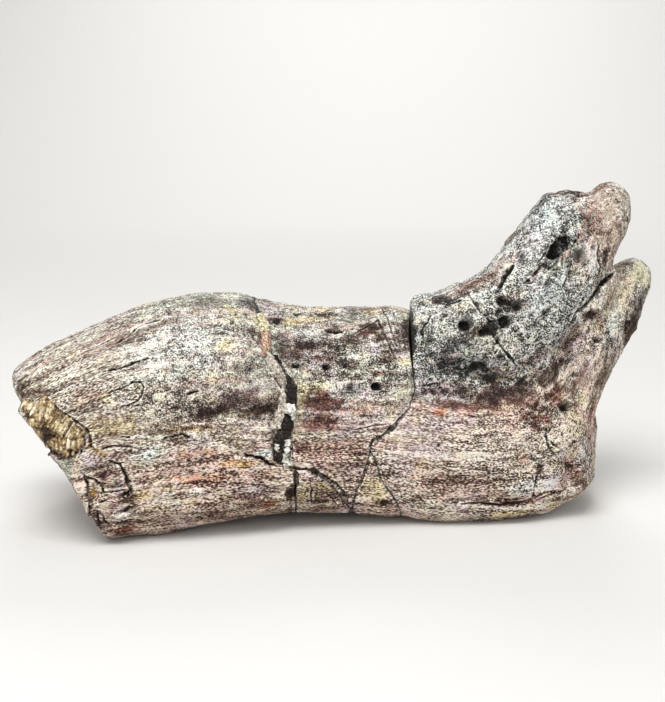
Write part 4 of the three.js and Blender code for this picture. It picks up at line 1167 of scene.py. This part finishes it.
CLAY_TONES = ramp_of((0.30, 70, 54, 46), (0.44, 150, 114, 96), (0.58, 198, 164, 138),
                     (0.72, 236, 222, 200))
STRAW_TONES = ramp_of((0.28, 84, 76, 60), (0.42, 170, 158, 124), (0.56, 220, 210, 168),
                      (0.70, 246, 242, 216))
MATRIX_TONES = ramp_of((0.3, 8, 7, 7), (0.54, 30, 24, 21), (0.70, 78, 62, 52), (0.84, 150, 132, 112))
CHIP_TONES = ramp_of((0.28, 92, 80, 70), (0.42, 166, 152, 138), (0.56, 216, 206, 190),
                     (0.70, 246, 242, 234))
STRAW_PATH = ((259, 316, 0.6), (262, 321), (264, 327, 1.2), (265, 333))
CLAY_PATH = ((264, 331, 0.7), (265, 338), (264.5, 345, 1.2), (266, 351, 0.6))
SLIVER_PATH = ((267, 354, 0.5), (271, 360, 1.1), (276, 368), (281, 377, 0.8), (285, 386, 0.4))
MATRIX_PATH = ((287, 377, 0.6), (289.5, 386, 1.2), (290, 395, 1.3), (290, 402), (290, 407, 0.3),
               (288.5, 413, 0.5), (287, 419, 1.2), (285.5, 427, 1.5), (282, 436, 1.2), (279, 444, 1.1),
               (278.5, 455, 0.9), (280, 464, 0.8))
LEDGE_PATH = ((283.5, 390, 0.5), (282.5, 399, 0.8), (281.5, 408), (279.5, 416, 1.1), (277, 424, 1.2),
              (275.5, 432), (274.5, 440, 0.5))
rust_clay = grainy_material("rust_clay", CLAY_TONES, 900, 0.8)
straw_clay = grainy_material("straw_clay", STRAW_TONES, 1100, 0.8)
dark_matrix = grainy_material("dark_matrix", MATRIX_TONES, 900, 0.65)
bone_chip = grainy_material("bone_chip", CHIP_TONES, 1000, 0.75)
crack_filling("straw_filling", STRAW_PATH, 1.5, 0.4, 0.0, straw_clay)
crack_filling("clay_filling", CLAY_PATH, 1.8, 0.4, 0.2, rust_clay)
crack_filling("bone_sliver", SLIVER_PATH, 0.7, 0.4, 0.1, bone_chip)
crack_filling("bone_ledge", LEDGE_PATH, 1.3, 0.3, 0.0, bone_chip)
crack_filling("matrix_filling", MATRIX_PATH, 1.5, 0.9, 0.8, dark_matrix)

# White crystals at the foot of the wide crack and in its waist: small, blocky and glassy. Those in
# the waist and at the left bank grew out beyond the dark matrix.
WHITE_TONES = ramp_of((0.24, 96, 92, 80), (0.4, 196, 194, 182), (0.6, 236, 236, 228),
                      (0.8, 255, 255, 255))
WHITE_SPOTS = (
    (287, 434, 1.0), (289, 438, 1.3), (285, 440, 1.1), (287.5, 443, 1.5), (290, 447, 1.0),
    (284, 446, 1.2), (286, 450, 1.6), (282, 452, 1.0), (284, 456, 1.5), (288, 454, 1.2),
    (290.5, 458, 1.5), (286, 461, 1.3), (282.5, 461, 1.0), (289, 464, 1.6), (292, 463, 1.0),
    (285, 466, 1.0), (277, 447, 1.5), (279, 450, 1.0), (288.5, 406, 1.7), (291, 408, 1.8),
    (289, 411, 1.8), (292, 413, 1.4), (286.5, 410, 1.4), (292.5, 418, 1.1), (291.5, 426, 1.0),
)
# The waist ends at this row of pixels, and the left bank at this column. The crystals there stand
# out of the crack by the first of these distances, in millimetres, and the others by the second.
WAIST_END, LEFT_BANK = 415, 280
GROWN_OUT, GROWN_LOW = 1.3, -0.2
CRYSTAL_SEED = 7
rng = np.random.default_rng(CRYSTAL_SEED)
bm = bmesh.new()
for px, py, size in WHITE_SPOTS:
    left, right = banks_at(px, py)
    grown = GROWN_OUT if py < WAIST_END or px < LEFT_BANK else GROWN_LOW
    spot = (left + right) / 2 + VIEW_BACK * grown * MM
    turn = Matrix.Rotation(rng.uniform(0, 3), 4, Vector(rng.normal(size=3)).normalized())
    shape = Matrix.Diagonal((*rng.uniform(0.7, 1.4, 3), 1))
    block = bmesh.ops.create_cube(bm, size=1.4 * size * MM)["verts"]
    bmesh.ops.transform(bm, verts=block, matrix=Matrix.Translation(spot) @ turn @ shape)
bmesh.ops.bevel(bm, geom=bm.edges[:], offset=0.16 * MM, segments=1, profile=0.5, affect="EDGES",
                material=-1)
finished("white_crystals", bm, grainy_material("white_crystal", WHITE_TONES, 600, 0.35))

# The golden calcite: a crust that grew in the hollow of the broken end. Over it stand sheaves of
# fine columns, side by side like folded cloth, upright at the left and leaning further right.
CALCITE_TONES = ramp_of((0.22, 44, 28, 26), (0.38, 98, 76, 54), (0.52, 152, 128, 92),
                        (0.65, 198, 178, 136), (0.83, 244, 236, 214))
Sheaf = namedtuple("Sheaf", "low_ends high_ends count radius bulge tone")
SHEAVES = (
    Sheaf(((21, 407), (25, 413), (30, 418), (37, 421)), ((28, 398), (34, 400), (39, 404), (43, 411)),
          17, 0.7, 1.0, -0.03),
    Sheaf(((33, 419), (40, 423), (46, 425), (52, 424)), ((39, 397), (46, 396), (52, 401), (58, 410)),
          20, 0.65, 1.5, -0.04),
    Sheaf(((44, 424), (49, 429), (54, 433), (60, 437)), ((54, 407), (61, 412), (67, 418), (71, 426)),
          19, 0.7, 1.7, -0.07),
    Sheaf(((57, 437), (62, 439), (68, 441), (74, 440)), ((66, 417), (72, 420), (79, 426), (87, 434)),
          16, 0.7, 1.5, -0.03),
    Sheaf(((58, 449), (65, 451), (72, 452), (81, 448)), ((55, 437), (64, 435), (74, 435), (85, 437)),
          13, 0.9, 1.2, -0.08),
    Sheaf(((54, 449), (60, 455), (67, 458), (76, 456)), ((52, 438), (57, 442), (64, 447), (74, 449)),
          12, 0.9, 1.2, -0.16),
)


def along_pixels(points, share):
    """The pixel at a share of the way along a line of pixels."""
    run = share * (len(points) - 1)
    k = min(int(run), len(points) - 2)
    return Vector(points[k]).lerp(Vector(points[k + 1]), run - k)


def calcite_material():
    """Golden calcite, brown in its crevices and nearly white along the edges of its columns: painted
    shade and painted light, carried by each vertex's tone.
    """
    material, start = new_material("golden_calcite_crystal", roughness=0.32)
    body = start.node("ShaderNodeTexCoord", output="Object")
    tone = start.node("ShaderNodeAttribute", output="Fac", attribute_name="tone")
    grain = start.node("ShaderNodeTexNoise", inputs={
        "Vector": body, "Scale": 900.0, "Detail": 3.0, "Roughness": 0.65})
    value = 0.5 + 1.2 * (grain - 0.5) + tone
    start.node("ShaderNodeValToRGB", stops=CALCITE_TONES, inputs={0: value}).to("Base Color")
    start.node("ShaderNodeBump", inputs={"Height": grain, "Distance": 0.5 * MM}).to("Normal")
    return material


SPINE_PARTS = 6


def grow_column(bm, layer, sheaf, spine):
    """One fine column: it follows its spine, bows outwards, and narrows at both of its ends."""
    radius = sheaf.radius * rng.uniform(0.75, 1.3) * MM
    bulge = sheaf.bulge * rng.uniform(0.6, 1.3) * MM
    side = (spine[-1] - spine[0]).cross(VIEW_BACK).normalized()
    twist = rng.uniform(0, 1)
    shade = sheaf.tone + rng.normal(scale=0.11)
    for vertex in bmesh.ops.create_uvsphere(bm, u_segments=6, v_segments=9, radius=1)["verts"]:
        t = (vertex.co.z + 1) / 2
        k = min(int(SPINE_PARTS * t), SPINE_PARTS - 1)
        spot = spine[k].lerp(spine[k + 1], SPINE_PARTS * t - k)
        angle = math.atan2(vertex.co.y, vertex.co.x) + twist
        thick = radius * min(1, math.hypot(vertex.co.x, vertex.co.y) * 1.7)
        arch = bulge * math.sin(math.pi * t) - 0.3 * MM
        # Painted light and shade: each column is paler on one side and darker on the other, and a little
        # darker towards both ends.
        vertex[layer] = shade + 0.3 * math.sin(angle) * (1 - abs(2 * t - 1)) - 0.06 * abs(2 * t - 1)
        vertex.co = spot + VIEW_BACK * (arch + thick * math.sin(angle)) + side * thick * math.cos(angle)


golden = calcite_material()
bm = bmesh.new()
layer = bm.verts.layers.float.new("tone")
for sheaf in SHEAVES:
    for i in range(sheaf.count):
        share = min(1, max(0, (i + 0.5 + rng.uniform(-0.3, 0.3)) / sheaf.count))
        low, high = along_pixels(sheaf.low_ends, share), along_pixels(sheaf.high_ends, share)
        low = low + Vector(rng.normal(scale=1.0, size=2))
        high = high + Vector(rng.normal(scale=1.0, size=2))
        spine = [found_at(*low.lerp(high, t / SPINE_PARTS))[0] for t in range(SPINE_PARTS + 1)]
        if None not in spine:
            grow_column(bm, layer, sheaf, spine)
finished("calcite_columns", bm, golden)

# The crust under the columns, of the same calcite: a knobbly layer on the bone, with a dark brown
# patch in its lower half and a rusty one near its top. Its knobs carry painted light where they
# stand out and painted shade between them.
CRUST_SHADOW = Swell(46, 436, 7, 12, -35, 0)
CRUST_RUST = Swell(31, 402, 9, 6, 20, 0)
crust = even_copy("golden_calcite")
crust_skin = Skin(crust)
crust_skin.places = crust_skin.blurred(crust_skin.places, 6)
knobs = lumps(crust_skin.places, 3.0 * MM, 3, 51.0)
crust_skin.push(1.1 * MM * knobs)
crust_skin.settle()
dark = step(-oval_distance(crust_skin.places, CRUST_SHADOW), -1.4, -0.6)
rusty = step(-oval_distance(crust_skin.places, CRUST_RUST), -1.4, -0.6)
crust_tone = crust.attributes.new("tone", "FLOAT", "POINT")
# Painted light and shade: the knobs are paler where they stand out and darker between them.
crust_tone.data.foreach_set("value", (0.4 * knobs - 0.1 - 0.2 * dark - 0.1 * rusty).astype(np.float32))
attach(crust, "calcite_crust", golden, "golden_calcite")
